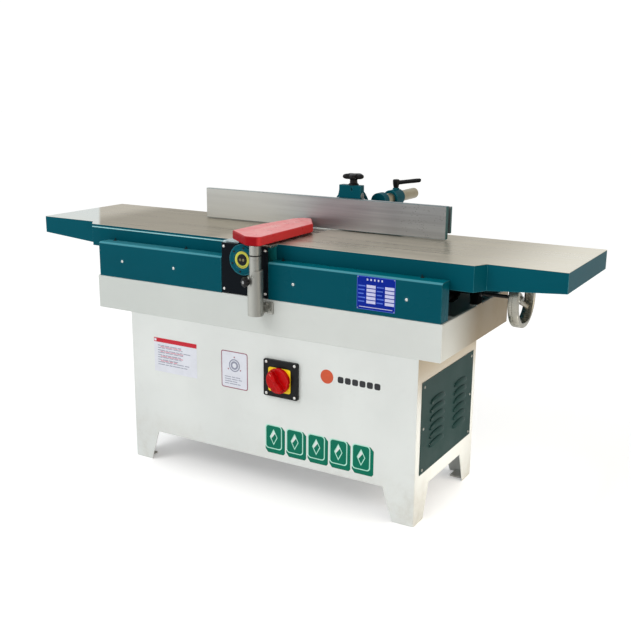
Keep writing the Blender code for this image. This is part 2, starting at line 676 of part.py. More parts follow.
def make_table(name, side):
    """Cast table: flat plate, skirt all round, lugs for the rockers and a seat for the lip."""
    body = plate(name, "Z", table_outline(side), SKIRT_BOTTOM, TABLE_TOP)
    cut(body, plate(name + "_hollow", "Z", table_hollow(side), SKIRT_BOTTOM - 0.02, PLATE_BOTTOM))
    near = CUTTER_X + side * STEP_END[side]
    far = side * (HALF_LENGTH + 0.01)
    wedge = [(near, SKIRT_BOTTOM), (near, SKIRT_BOTTOM - 0.01), (far, SKIRT_BOTTOM - 0.01), (far, TIP_BOTTOM)]
    if side < 0:
        wedge = wedge[::-1]
    cut(body, plate(name + "_wedge", "Y", wedge, dy(0.0), dy(0.60)))
    seat = sorted((CUTTER_X + side * (CASTING_START - 0.01), CUTTER_X + side * (LIP_END + GAP)))
    cut(body, box(name + "_seat", seat, (dy(0.0), dy(0.60)), (TABLE_TOP - LIP_THICK - GAP, TABLE_TOP + 0.01)))
    for index, (_low, high) in enumerate(rocker_points(side)):
        for end, (close, away) in (("front", (0.132, 0.150)), ("rear", (0.432, 0.450))):
            label = name + "_lug_%d_%s" % (index, end)
            bottom = arc(high[0], high[1], 0.018, 180, 360, 6)
            top = PLATE_BOTTOM + 0.003
            shape = bottom + [(high[0] + 0.018, top), (high[0] - 0.018, top)]
            join(body, plate(label, "Y", shape, dy(close), dy(away)))
        cut(body, cylinder(name + "_eye_%d" % index, "Y", (high[0], 0, high[1]), TOP_SHAFT_R + 0.0005,
                           dy(0.120), dy(0.460), 16))
    return finish(body, IRON, smooth=False)


def make_lip(name, side):
    """Steel lip plate beside the mouth, bevelled under its inner edge."""
    inner = CUTTER_X + side * LIP_START
    relief = CUTTER_X + side * (LIP_START + 0.006)
    outer = CUTTER_X + side * LIP_END
    low = TABLE_TOP - LIP_THICK
    shape = [(inner, TABLE_TOP), (inner, TABLE_TOP - 0.002), (relief, low), (outer, low), (outer, TABLE_TOP)]
    if side < 0:
        shape = shape[::-1]
    return finish(plate(name, "Y", shape, dy(D_LIP_FRONT), dy(D_TABLE_BACK)), STEEL, smooth=False)


def make_rocker(name, side, index, lever):
    """Rocker: lower shaft in the bed, two arms, upper shaft in the table's lugs, and maybe a lever."""
    low, high = rocker_points(side)[index]
    body = cylinder(name, "Y", (low[0], 0, low[1]), SHAFT_R, dy(0.088), dy(0.494), 16)
    arm = link(low, high, 0.020, 0.016)
    join(body, plate(name + "_arm_front", "Y", arm, dy(0.1095), dy(0.1295)))
    join(body, plate(name + "_arm_rear", "Y", arm, dy(0.4525), dy(0.4725)))
    join(body, cylinder(name + "_top", "Y", (high[0], 0, high[1]), TOP_SHAFT_R, dy(0.120), dy(0.462), 16))
    if lever:
        nut = nut_point(side)
        join(body, plate(name + "_lever", "Y", link(low, nut, 0.018, 0.012), dy(0.268), dy(0.286)))
        cut(body, cylinder(name + "_eye", "Y", (nut[0], 0, nut[1]), 0.0053, dy(0.260), dy(0.295), SMALL))
    return finish(body, CAST)


def make_nut(name, side):
    """Trunnion nut on the lever, bored for the adjusting screw."""
    x, z = nut_point(side)
    half = 0.011
    body = box(name, (x - half, x + half), (dy(0.2885), dy(0.3165)), (z - half, z + half), 0.001, 1)
    join(body, cylinder(name + "_pin", "Y", (x, 0, z), 0.005, dy(0.266), dy(0.290), SMALL))
    cut(body, cylinder(name + "_bore", "X", (0, dy(D_SCREW), z), SCREW_R + 0.0007, x - 0.02, x + 0.02, SMALL))
    return finish(body, STEEL)


def make_screw(name, side):
    """Adjusting screw with collars on both sides of its boss."""
    nut_x, z = nut_point(side)
    wall = BED_X[1] if side > 0 else BED_X[0]
    end = WHEEL_X + 0.015 if side > 0 else wall - 0.040
    reach = sorted((nut_x - side * 0.030, end))
    centre = (0, dy(D_SCREW), z)
    body = cylinder(name, "X", centre, SCREW_R, reach[0], reach[1], SMALL)
    for label, face in (("outer", wall + side * 0.0004), ("inner", wall - side * 0.0259)):
        away = side if label == "outer" else -side
        xs = sorted((face, face + away * 0.006))
        join(body, cylinder(name + "_collar_" + label, "X", centre, 0.010, xs[0], xs[1], SMALL))
    if side < 0:
        join(body, cylinder(name + "_head", "X", centre, 0.011, end - 0.010, end + 0.001, 6))
    return finish(body, STEEL)


def make_handwheel():
    """Dished handwheel with three spokes, and a handle that spins on its pin."""
    z = nut_point(1)[1]
    centre = (WHEEL_X, dy(D_SCREW), z)
    wide = WHEEL_WIDTH
    rim = [(WHEEL_R - 0.014, wide), (WHEEL_R - 0.004, wide), (WHEEL_R, wide - 0.006), (WHEEL_R, 0.006),
           (WHEEL_R - 0.004, 0.0), (WHEEL_R - 0.014, 0.0), (WHEEL_R - 0.018, 0.006),
           (WHEEL_R - 0.018, wide - 0.006)]
    body = turned("handwheel", "X", centre, rim, 32)
    hub = turned("wheel_hub", "X", (WHEEL_X - 0.020, centre[1], z),
                 [(SCREW_R + GAP, 0.034), (0.016, 0.034), (0.019, 0.0), (SCREW_R + GAP, 0.0)], 16)
    join(body, hub)
    for index in range(3):
        spoke = box("spoke_%d" % index, (-0.004, 0.004), (-0.011, 0.011), (0.015, WHEEL_R - 0.012), 0.002, 1)
        lean = Matrix.Rotation(math.radians(7), 4, "Y")
        turn = Matrix.Rotation(math.radians(120 * index), 4, "X")
        spoke.data.transform(Matrix.Translation((WHEEL_X, centre[1], z)) @ turn @ lean)
        join(body, spoke)
    grip_z = z + WHEEL_R - 0.010
    grip_x = WHEEL_X + WHEEL_WIDTH
    cut(body, cylinder("pin_hole", "X", (0, centre[1], grip_z), 0.0033, WHEEL_X - 0.01, grip_x + 0.01, SMALL))
    pin_start = WHEEL_X + 0.002
    grip = turned("handwheel_handle", "X", (pin_start, centre[1], grip_z),
                  [(0.0, 0.100), (0.006, 0.099), (0.0095, 0.092), (0.0095, 0.068), (0.0080, 0.048),
                   (0.0070, 0.0335), (0.0030, 0.0325), (0.0030, 0.0), (0.0, 0.0)], SMALL)
    return finish(body, STEEL), finish(grip, PLASTIC)


def make_switch():
    """Rotary isolator: black plate, yellow escutcheon and a red knob on a spindle."""
    base = box("switch_plate", (0.0628, 0.1955), (dy(-0.012), dy(-GAP)), (0.3465, 0.474), 0.003, 2,
               lambda a, b: abs(a.y - b.y) > 0.005)
    cut(base, cylinder("switch_plate_hole", "Y", (SWITCH_X, 0, SWITCH_Z), 0.007, dy(-0.03), dy(0.01), SMALL))
    square = rounded(rectangle(0.0842, 0.1702, 0.3665, 0.4495), [0.008] * 4)
    yellow = plate("switch_escutcheon", "Y", square, dy(-0.0150), dy(-0.0123),
                   [circle(SWITCH_X, SWITCH_Z, 0.007, SMALL)])
    knob = turned("switch_knob", "Y", (SWITCH_X, dy(-0.0290), SWITCH_Z),
                  [(0.0, 0.0390), (0.005, 0.0390), (0.005, 0.0137), (0.0410, 0.0137),
                   (0.0435, 0.0110), (0.0405, 0.0), (0.0, 0.0)])
    grip = box("switch_grip", (-0.040, 0.040), (dy(-0.047), dy(-0.025)), (-0.010, 0.010), 0.005, 2,
               lambda a, b: abs(a.y - b.y) > 0.005)
    lean = Matrix.Rotation(math.radians(-35), 4, "Y")
    grip.data.transform(Matrix.Translation((SWITCH_X, 0, SWITCH_Z)) @ lean)
    join(knob, grip)
    return finish(base, PLASTIC), finish(yellow, YELLOW), finish(knob, RED)


def guard_outline():
    """Plan of the guard: broad over the post, tapering to a narrow end by the fence."""
    corners = [(-0.0735, dy(0.014)), (0.0340, dy(-0.069)), (0.0838, dy(-0.062)), (0.0785, dy(0.282)),
               (0.0105, dy(0.387)), (-0.0245, dy(0.390)), (-0.0480, dy(0.352)), (-0.0710, dy(0.174))]
    return rounded(corners, [0.006, 0.026, 0.020, 0.024, 0.012, 0.015, 0.030, 0.060])


def make_guard():
    """Guard bracket, sleeve, sliding post, red cover and locking knob."""
    axis = (POST_X, dy(D_POST), 0)
    bracket = box("guard_bracket", (0.036, 0.098), (dy(-0.0063), dy(-GAP)), (0.626, 0.668), 0.002, 1)
    join(bracket, box("bracket_block", (0.043, 0.070), (dy(-0.040), dy(-0.005)), (0.630, 0.660)))
    cut(bracket, cylinder("bracket_saddle", "Z", axis, SLEEVE_R + GAP, 0.60, 0.70))
    outer = circle(axis[0], axis[1], SLEEVE_R)
    sleeve = plate("guard_sleeve", "Z", outer, 0.627, 0.777, [circle(axis[0], axis[1], POST_R + GAP)])
    cut(sleeve, box("sleeve_notch", (0.020, 0.0685), (dy(-0.080), dy(-0.041)), (0.757, 0.790)))
    swing = (Matrix.Translation((axis[0], axis[1], 0)) @ Matrix.Rotation(KNOB_TURN, 4, "Z")
             @ Matrix.Translation((-axis[0], -axis[1], 0)))
    tap = cylinder("sleeve_tap", "X", (0, axis[1], 0.743), 0.0033, 0.020, 0.045, SMALL)
    tap.data.transform(swing)
    cut(sleeve, tap)
    top = GUARD_Z[0] - GAP
    post = turned("guard_post", "Z", (axis[0], axis[1], 0),
                  [(0.0, top), (POST_R, top), (POST_R, 0.8275),
                   (POST_R - 0.0015, 0.8265), (POST_R - 0.0015, 0.8245),
                   (POST_R, 0.8235), (POST_R, 0.640), (0.0, 0.640)])
    cover = plate("guard_cover", "Z", guard_outline(), GUARD_Z[0], GUARD_Z[1])
    knob = plate("guard_knob", "X", star(axis[1], 0.743, 0.0125, 0.0165, 6, 4), 0.006, 0.0285)
    stud = cylinder("guard_stud", "X", (0, axis[1], 0.743), 0.0030, 0.020, POST_X - POST_R - GAP, SMALL)
    knob.data.transform(swing)
    stud.data.transform(swing)
    join(knob, stud)
    finish(bracket, STEEL)
    finish(sleeve, STEEL)
    finish(post, STEEL)
    finish(cover, RED)
    finish(knob, PLASTIC)
    return bracket, sleeve, post, cover, knob


def make_fence_plate():
    """Fence: flat face plate with two hinge ears behind its foot."""
    body = box("fence_plate", FENCE_X, (dy(D_FENCE[0]), dy(D_FENCE[1])), FENCE_Z, 0.0015, 1)
    for index, xs in enumerate(((0.1073, 0.122), (0.178, 0.1927))):
        ear = [(dy(D_FENCE[1] - 0.004), PIN_Z - 0.009), (dy(D_PIN), PIN_Z - 0.009)]
        ear += arc(dy(D_PIN), PIN_Z, 0.009, -75, 75, 6)
        ear += [(dy(D_PIN), PIN_Z + 0.009), (dy(D_FENCE[1] - 0.004), PIN_Z + 0.030)]
        join(body, plate("fence_ear_%d" % index, "X", ear, xs[0], xs[1]))
    cut(body, cylinder("fence_pin_hole", "X", (0, dy(D_PIN), PIN_Z), 0.0053, 0.09, 0.21, SMALL))
    return finish(body, IRON)


def make_carriage():
    """Carriage behind the fence: crossbar, hinge ears, riser and the socket of the sliding bar."""
    low = 0.8563
    body = box("fence_carriage", (0.0950, 0.2365), (dy(0.4493), dy(0.5350)), (low, 0.873))
    join(body, box("carriage_tongue", (0.135, 0.166), (dy(0.530), dy(0.580)), (low, 0.873)))
    for index, xs in enumerate(((0.0950, 0.107), (0.193, 0.2050))):
        ear = [(dy(0.455), low), (dy(0.455), 0.873), (dy(D_PIN), PIN_Z + 0.0087)]
        ear += arc(dy(D_PIN), PIN_Z, 0.0087, 110, 250, 6)
        ear += [(dy(D_PIN), low)]
        join(body, plate("carriage_ear_%d" % index, "X", ear[::-1], xs[0], xs[1]))
    join(body, box("riser", (0.1965, 0.2365), (dy(0.508), dy(0.535)), (0.860, 0.945)))
    join(body, cylinder("socket", "Y", (BAR_X, 0, BAR_Z), 0.029, dy(0.505), dy(0.540)))
    cut(body, cylinder("socket_bore", "Y", (BAR_X, 0, BAR_Z), BAR_R + GAP, dy(0.510), dy(0.560)))
    cut(body, cylinder("carriage_pin_hole", "X", (0, dy(D_PIN), PIN_Z), 0.0053, 0.08, 0.22, SMALL))
    return finish(body, TEAL)


def make_quadrant():
    """Arc bar about the tilt pin, which the clamp block grips."""
    outline = arc(dy(D_PIN), PIN_Z, QUADRANT[1], 3.9, 93, 16)
    outline += arc(dy(D_PIN), PIN_Z, QUADRANT[0], 93, 3.9, 16)
    return finish(plate("fence_quadrant", "X", outline, KNOB_X - 0.0037, KNOB_X + 0.0037), STEEL)


def make_clamp_block():
    """Clamp block on the back of the fence, slotted for the quadrant, with a stud hole on top."""
    xs = (0.0995, 0.1855)
    body = box("fence_clamp_block", xs, (dy(D_FENCE[1]) + GAP, dy(0.455)), (0.930, 1.012), 0.002, 2)
    channel = arc(dy(D_PIN), PIN_Z, QUADRANT[1] + 0.0006, 60, 120, 10)
    channel += arc(dy(D_PIN), PIN_Z, QUADRANT[0] - 0.0006, 120, 60, 10)
    cut(body, plate("channel", "X", channel, KNOB_X - 0.0040, KNOB_X + 0.0040))
    cut(body, cylinder("stud_hole", "Z", (KNOB_X, dy(0.4400), 0), 0.0045, 1.000, 1.020, SMALL))
    return finish(body, TEAL)


def make_star_knob():
    """Five-lobed knob whose stud presses on the quadrant."""
    centre = (KNOB_X, dy(0.4400))
    body = plate("fence_star_knob", "Z", star(centre[0], centre[1], 0.022, 0.036, 5, 6), 1.033, 1.052)
    join(body, cylinder("knob_neck", "Z", (*centre, 0), 0.014, 1.0123, 1.035, MEDIUM, 0.017))
    join(body, cylinder("knob_stud", "Z", (*centre, 0), 0.0042, 1.0060, 1.014, SMALL))
    return finish(body, PLASTIC)


def make_fence_support():
    """Bracket on the back of the bed, with a column under the bar's sleeve."""
    body = box("fence_support", (0.172, 0.261), (dy(BED_D[1]) + GAP, dy(0.603)), (0.572, 0.668), 0.002, 1)
    join(body, box("support_column", (0.1915, 0.2415), (dy(0.602), dy(0.666)), (0.580, 0.935), 0.004, 2,
                   lambda a, b: abs(a.z - b.z) > 0.1))
    web = [(dy(0.662), 0.580), (dy(0.598), 0.574), (dy(0.598), 0.660), (dy(0.610), 0.668)]
    join(body, plate("support_web", "X", web[::-1], 0.205, 0.228))
    cut(body, cylinder("saddle", "Y", (BAR_X, 0, BAR_Z), BAR_SLEEVE_R + GAP, dy(0.590), dy(0.690)))
    return finish(body, TEAL)


def make_bar_sleeve():
    """Sleeve the bar slides in, with a boss for the locking lever's stud."""
    ring = circle(BAR_X, BAR_Z, BAR_SLEEVE_R)
    body = plate("fence_sleeve", "Y", ring, dy(0.602), dy(0.668), [circle(BAR_X, BAR_Z, BAR_R + GAP)])
    join(body, cylinder("sleeve_boss", "Z", (BAR_X, dy(0.650), 0), 0.012, 0.978, 0.986, MEDIUM))
    cut(body, cylinder("sleeve_stud_hole", "Z", (BAR_X, dy(0.650), 0), 0.0053, 0.9727, 1.00, SMALL))
    return finish(body, TEAL)


def make_lock_lever():
    """Clamping lever: turned hub, and an arm that rises to a rounded end."""
    x, y = BAR_X, dy(0.650)
    body = turned("fence_lock_lever", "Z", (x, y, 0),
                  [(0.0, 1.018), (0.009, 1.018), (0.0122, 1.014), (0.0122, 1.002),
                   (0.0085, 0.9863), (0.005, 0.9863),
                   (0.005, 0.9735), (0.0, 0.9735)], SMALL)
    arm = box("lever_arm", (0.004, 0.088), (-0.0065, 0.0065), (-0.0065, 0.0065), 0.003, 2)
    rise = Matrix.Rotation(math.radians(-9), 4, "Y")
    swing = Matrix.Rotation(math.radians(20), 4, "Z")
    arm.data.transform(Matrix.Translation((x, y, 1.005)) @ swing @ rise)
    join(body, arm)
    return finish(body, PLASTIC)


def build_stand():
    make_cabinet()
    make_louvre_panel()
    make_bed()
    make_cover("front_cover_left", (-0.6565, -0.1115), True)
    make_cover("front_cover_right", (0.0765, 0.6855), True)
    make_cover("rear_cover_left", (-0.6565, CUTTER_X - 0.0580), False)
    make_cover("rear_cover_right", (CUTTER_X + 0.0580, 0.6855), False)
    make_chute()
    make_dust_port()
    make_belt_guard()
    make_pulley_cover()


def build_cutter_and_drive():
    make_front_bearing_plate()
    make_front_bearing_cap()
    make_housing("bearing_housing_front", 0.025, 0.062)
    make_housing("bearing_housing_rear", 0.488, 0.525)
    make_bearing("bearing_front", 0.036, 0.051)
    make_bearing("bearing_rear", 0.499, 0.514)
    spin = pivot("cutter_axis", (CUTTER_X, dy(0.275), CUTTER_Z))
    carry(spin, make_cutter_block(), make_cutter_pulley())
    for index in range(KNIVES):
        carry(spin, make_knife(index))
    make_motor_mount()
    make_motor()
    carry(pivot("motor_axis", (CUTTER_X, dy(0.30), MOTOR_Z)), *make_motor_rotor())
    make_belt("drive_belt_front", 0)
    make_belt("drive_belt_rear", 1)


def build_table(prefix, side):
    """One table with its lip, rockers, nut and adjusting screw."""
    points = rocker_points(side)
    nut = nut_point(side)
    lift = pivot(prefix + "_rocker_axis_inner", (points[0][0][0], dy(0.29), ROCKER_Z))
    carry(lift, make_rocker(prefix + "_rocker_inner", side, 0, False))
    swing = pivot(prefix + "_rocker_axis_outer", (points[1][0][0], dy(0.29), ROCKER_Z))
    carry(swing, make_rocker(prefix + "_rocker_outer", side, 1, True))
    table = pivot(prefix + "_table_axis", (points[0][1][0], dy(0.29), points[0][1][1]))
    carry(table, make_table(prefix + "_table", side), make_lip(prefix + "_lip", side))
    carry(pivot(prefix + "_nut_axis", (nut[0], dy(D_SCREW), nut[1])), make_nut(prefix + "_nut", side))
    screw = pivot(prefix + "_screw_axis", (BED_X[1] if side > 0 else BED_X[0], dy(D_SCREW), nut[1]))
    carry(screw, make_screw(prefix + "_screw", side))
    return screw


def build_tables():
    screw = build_table("infeed", 1)
    wheel, grip = make_handwheel()
    carry(screw, wheel)
    height = nut_point(1)[1] + WHEEL_R - 0.010
    carry(pivot("handle_axis", (WHEEL_X + 0.05, dy(D_SCREW), height)), grip)
    build_table("outfeed", -1)


def build_switch_and_guard():
    _base, _yellow, knob = make_switch()
    carry(pivot("switch_axis", (SWITCH_X, dy(-0.03), SWITCH_Z)), knob)
    _bracket, _sleeve, post, cover, lock = make_guard()
    carry(pivot("post_axis", (POST_X, dy(D_POST), 0.70)), post)
    carry(pivot("guard_axis", (POST_X, dy(D_POST), 0.873)), cover)
    carry(pivot("guard_knob_axis", (0.020, dy(D_POST), 0.743)), lock)


def build_fence():
    slide = pivot("fence_slide", (BAR_X, dy(0.65), BAR_Z))
    bar = finish(cylinder("fence_bar", "Y", (BAR_X, 0, BAR_Z), BAR_R, dy(D_BAR[0]), dy(D_BAR[1])), STEEL)
    pin = finish(cylinder("fence_hinge_pin", "X", (0, dy(D_PIN), PIN_Z), 0.005, 0.092, 0.208, SMALL), STEEL)
    carry(slide, bar, make_carriage(), make_quadrant(), pin)
    carry(pivot("fence_tilt", (KNOB_X, dy(D_PIN), PIN_Z)), make_fence_plate(), make_clamp_block())
    carry(pivot("star_knob_axis", (KNOB_X, dy(0.4400), 1.03)), make_star_knob())
    make_fence_support()
    make_bar_sleeve()
    carry(pivot("lever_axis", (BAR_X, dy(0.650), 1.01)), make_lock_lever())


build_stand()
build_cutter_and_drive()
build_tables()
build_switch_and_guard()
build_fence()
bpy.context.view_layer.update()
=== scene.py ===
"""Look of the jointer.

Finishes for the CAD frame, finer shapes for its visible pieces, small fittings and a studio.
"""

import math
import random

import bmesh
import bpy
from mathutils import Matrix, Vector


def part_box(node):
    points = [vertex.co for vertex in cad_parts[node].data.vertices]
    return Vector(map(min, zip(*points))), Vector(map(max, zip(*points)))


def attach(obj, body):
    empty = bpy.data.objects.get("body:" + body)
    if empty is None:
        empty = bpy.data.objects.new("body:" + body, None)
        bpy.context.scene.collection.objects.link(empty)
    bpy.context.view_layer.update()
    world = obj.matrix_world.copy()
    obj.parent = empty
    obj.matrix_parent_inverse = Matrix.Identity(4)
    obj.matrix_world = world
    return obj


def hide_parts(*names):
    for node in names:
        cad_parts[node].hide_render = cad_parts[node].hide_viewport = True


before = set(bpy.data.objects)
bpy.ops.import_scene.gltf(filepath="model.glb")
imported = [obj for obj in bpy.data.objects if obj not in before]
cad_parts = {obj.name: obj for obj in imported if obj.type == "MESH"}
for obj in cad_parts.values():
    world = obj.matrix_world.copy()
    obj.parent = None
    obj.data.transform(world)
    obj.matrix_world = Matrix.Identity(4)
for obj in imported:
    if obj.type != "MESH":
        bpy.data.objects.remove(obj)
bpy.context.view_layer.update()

# Places shared with the CAD frame, in metres
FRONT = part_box("bearing_plate_front")[0].y
TABLE_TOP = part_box("infeed_table")[1].z
CUTTER = Vector((-0.0185, 0.0, 0.797))
POST = Vector((0.0565, FRONT - 0.045, 0.0))
SWITCH = Vector((0.1275, 0.0, 0.4085))
BAR = Vector((0.2165, 0.0, 0.952))
STAR = Vector((0.1505, FRONT + 0.44, 0.0))
FENCE_HINGE = Vector((0.1505, 0.081, 0.865))
WHEEL = Vector((0.812, FRONT + 0.303, 0.7108))
WHEEL_R = 0.092
WHEEL_WIDTH = 0.034
KNOB_TURN = math.radians(72)
TIP_EDGE = (-0.7298, -0.6837, 0.7174)
POST_R = 0.0195
GUARD_SLEEVE_R = 0.026
BAR_R = 0.02
SWITCH_PLATE = (0.0628, 0.1955, 0.3465, 0.474)
SWITCH_INNER = (0.0842, 0.1702, 0.3665, 0.4495)
RATING_PLATE = (0.4035, 0.5345, 0.687, 0.792)
COVER_TOP = 0.798
COVER_SHEET = 0.0025
COVER_BEND = 0.008
COVER_SCREW_Z = 0.735
BED_LINE = 0.675
CUTTER_R = 0.051
EDGE_WIDTH = 0.0008
FILM = 0.0004
DASH_LIFT = 0.0005
DASH_GAP = 0.006

# Facets round a turned shape
FINE = 96
ROUND = 64
SMALL = 32

# Studio
CAMERA_AT = (1.7051, FRONT - 2.4761, 1.3717)
CAMERA_TURN = (30.341, 14.206, 0.4415)
LENS = 53.01
LIGHTS = (
    ("key", (-1.6, -3.4, 3.6), (0.0, 0.0, 0.5), (2.6, 2.0), 60.0, (1.0, 0.99, 0.98)),
    ("warm_fill", (3.6, -0.6, 1.2), (0.4, 0.0, 0.5), (2.2, 1.6), 16.0, (1.0, 0.86, 0.68)),
    ("low_warm", (1.0, -0.08, 0.3), (0.5, -0.08, 0.2), (0.5, 0.14), 1.5, (1.0, 0.96, 0.9)),
)


def dy(depth):
    """y of a place that lies depth behind the bed's front face."""
    return FRONT + depth


def rgb(red, green, blue):
    """Linear colour of an 8-bit display colour."""
    def linear(value):
        value /= 255.0
        return value / 12.92 if value <= 0.04045 else ((value + 0.055) / 1.055) ** 2.4
    return (linear(red), linear(green), linear(blue), 1.0)


# ---------------------------------------------------------------- materials

class Finish:
    """One procedural material, built node by node."""

    def __init__(self, name, roughness=0.5, metallic=0.0, gloss=0.5):
        self.mat = bpy.data.materials.new(name)
        self.mat.use_nodes = True
        self.tree = self.mat.node_tree
        self.tree.nodes.clear()
        self.bsdf = self.tree.nodes.new("ShaderNodeBsdfPrincipled")
        output = self.tree.nodes.new("ShaderNodeOutputMaterial")
        self.tree.links.new(self.bsdf.outputs[0], output.inputs[0])
        self.bsdf.inputs["Roughness"].default_value = roughness
        self.bsdf.inputs["Metallic"].default_value = metallic
        self.bsdf.inputs["Specular IOR Level"].default_value = gloss
        self.coords = self.tree.nodes.new("ShaderNodeTexCoord").outputs["Object"]
        self.height = None

    def feed(self, socket, value):
        if isinstance(value, bpy.types.NodeSocket):
            self.tree.links.new(value, socket)
        elif value is not None:
            socket.default_value = value

    def node(self, kind, *values, **settings):
        made = self.tree.nodes.new(kind)
        for key, value in settings.items():
            setattr(made, key, value)
        for index, value in enumerate(values):
            self.feed(made.inputs[index], value)
        return made

    def math(self, operation, a, b=0.0):
        return self.node("ShaderNodeMath", a, b, operation=operation).outputs[0]

    def times(self, a, b):
        return self.math("MULTIPLY", a, b)

    def noise(self, scale, detail=3.0, roughness=0.5, stretch=(1.0, 1.0, 1.0), distortion=0.0):
        mapping = self.node("ShaderNodeMapping", self.coords)
        mapping.inputs["Scale"].default_value = stretch
        made = self.node("ShaderNodeTexNoise")
        self.feed(made.inputs["Vector"], mapping.outputs[0])
        made.inputs["Scale"].default_value = scale
        made.inputs["Detail"].default_value = detail
        made.inputs["Roughness"].default_value = roughness
        made.inputs["Distortion"].default_value = distortion
        return made.outputs["Fac"]

    def cells(self, scale):
        made = self.node("ShaderNodeTexVoronoi")
        self.feed(made.inputs["Vector"], self.coords)
        made.inputs["Scale"].default_value = scale
        return made.outputs["Distance"]

    def span(self, value, low, high, start=0.0, end=1.0):
        """start where value is low, end where it is high, smooth between."""
        made = self.node("ShaderNodeMapRange", value, low, high, start, end)
        made.interpolation_type = "SMOOTHSTEP"
        made.clamp = True
        return made.outputs[0]

    def mix(self, factor, a, b):
        made = self.tree.nodes.new("ShaderNodeMix")
        made.data_type = "RGBA"
        self.feed(made.inputs[0], factor)
        self.feed(made.inputs[6], a)
        self.feed(made.inputs[7], b)
        return made.outputs[2]

    def axis(self, name):
        """One coordinate of the place, in the object's own frame."""
        return self.node("ShaderNodeSeparateXYZ", self.coords).outputs["XYZ".index(name)]

    def facing(self, name):
        """One coordinate of the surface normal, in the object's own frame."""
        normal = self.node("ShaderNodeTexCoord").outputs["Normal"]
        return self.node("ShaderNodeSeparateXYZ", normal).outputs["XYZ".index(name)]

    def edges(self, radius=0.0015):
        """1 on edges and corners, 0 on open faces."""
        bevel = self.node("ShaderNodeBevel", radius, samples=4)
        flat = self.tree.nodes.new("ShaderNodeNewGeometry")
        dot = self.node("ShaderNodeVectorMath", bevel.outputs[0], flat.outputs["Normal"],
            operation="DOT_PRODUCT")
        return self.span(dot.outputs["Value"], 0.995, 0.9)

    def colour(self, value):
        self.feed(self.bsdf.inputs["Base Color"], value)

    def rough(self, value):
        self.feed(self.bsdf.inputs["Roughness"], value)

    def bump(self, height, strength, distance=0.001):
        """Adds one layer of relief on top of the ones before."""
        made = self.tree.nodes.new("ShaderNodeBump")
        made.inputs["Strength"].default_value = strength
        made.inputs["Distance"].default_value = distance
        self.feed(made.inputs["Height"], height)
        if self.height is not None:
            self.feed(made.inputs["Normal"], self.height)
        self.height = made.outputs["Normal"]
        self.feed(self.bsdf.inputs["Normal"], self.height)


def shade(colour, factor):
    return (colour[0] * factor, colour[1] * factor, colour[2] * factor, 1.0)


def paint(name, base, light=None, roughness=0.36, peel=0.1, worn_edge_highlight=0.0, grime=None, gloss=0.3, tune=None):
    """Sprayed paint: slow colour drift, orange peel, edges paler from rubbing and painted highlight, and dust
    that gathers low down.
    """
    made = Finish(name, roughness, 0.0, gloss)
    drift = made.noise(2.2, 4.0, 0.55)
    colour = made.mix(made.span(drift, 0.25, 0.75), shade(base, 0.93), shade(base, 1.06))
    cloud = made.noise(18.0, 5.0, 0.6)
    colour = made.mix(made.span(cloud, 0.55, 0.8, 0.0, 0.16), colour, shade(base, 0.8))
    if grime is not None:
        low = made.span(made.axis("Z"), 0.22, 0.0)
        patchy = made.times(low, made.span(made.noise(9.0, 6.0, 0.65), 0.35, 0.75))
        colour = made.mix(made.times(patchy, 0.55), colour, grime)
    scuff = made.noise(60.0, 6.0, 0.7, (1.0, 1.0, 0.35), 0.6)
    colour = made.mix(made.span(scuff, 0.66, 0.78, 0.0, 0.22), colour, shade(base, 0.62))
    # edges turned paler: partly rubbed wear, partly painted highlight
    if worn_edge_highlight > 0.0 and light is not None:
        rubbed_highlight = made.times(made.edges(), made.span(made.noise(45.0, 4.0), 0.3, 0.6, 0.45, 1.0))
        colour = made.mix(made.times(rubbed_highlight, worn_edge_highlight), colour, light)
    if tune is not None:
        colour = tune(made, colour)
    made.colour(colour)
    made.rough(made.span(made.noise(7.0, 4.0), 0.3, 0.75, roughness - 0.06, roughness + 0.1))
    made.bump(made.noise(420.0, 2.0), peel, 0.0004)
    made.bump(drift, 0.05, 0.004)
    return made.mat


def ledge_painted_highlight(made, colour):
    """Teal with painted highlight: paler on the folded ledge's upward faces, more so towards the outfeed end,
    and brightest on its bend.
    """
    up = made.facing("Z")
    bend = made.times(made.span(up, 0.12, 0.45), made.span(up, 0.995, 0.93))
    left = made.span(made.axis("X"), 0.0, -0.45, 0.0, 0.45)
    colour = made.mix(made.span(up, 0.6, 0.98, 0.0, 0.55), colour, rgb(0, 122, 136))
    colour = made.mix(made.times(made.span(up, 0.6, 0.98), left), colour, rgb(84, 158, 172))
    return made.mix(made.times(bend, 0.55), colour, rgb(98, 176, 190))


def bed_shade(made, colour):
    """Bed paint with painted shade: a little darker towards the outfeed end, warm and darker on the end face
    under the tables, near-black above the covers' foot in the gap under the tables.
    """
    # painted shade growing towards the outfeed end
    shade_to_outfeed = made.span(made.axis("X"), 0.55, -0.66, 0.0, 0.55)
    colour = made.mix(shade_to_outfeed, colour, rgb(190, 196, 192))
    # warm painted shade on the end face, deeper towards the back
    warm = made.times(made.span(made.facing("X"), 0.5, 0.95),
        made.span(made.axis("Y"), -0.34, -0.04, 0.14, 0.92))
    colour = made.mix(warm, colour, rgb(122, 106, 78))
    # painted shade: near-black above the covers' foot, in the gap under the tables
    above = made.span(made.axis("Z"), BED_LINE, BED_LINE + 0.0015)
    made.feed(made.bsdf.inputs["Specular IOR Level"], made.math("SUBTRACT", 0.25, made.times(above, 0.25)))
    return made.mix(above, colour, rgb(14, 15, 16))


def side_painted_shade(made, colour):
    """Cabinet paint: painted warm shade on the end that faces away from the key light, stronger towards the
    top.
    """
    side = made.span(made.facing("X"), 0.5, 0.95)
    high = made.span(made.axis("Z"), 0.36, 0.54, 0.1, 0.9)
    return made.mix(made.times(side, high), colour, rgb(158, 142, 116))


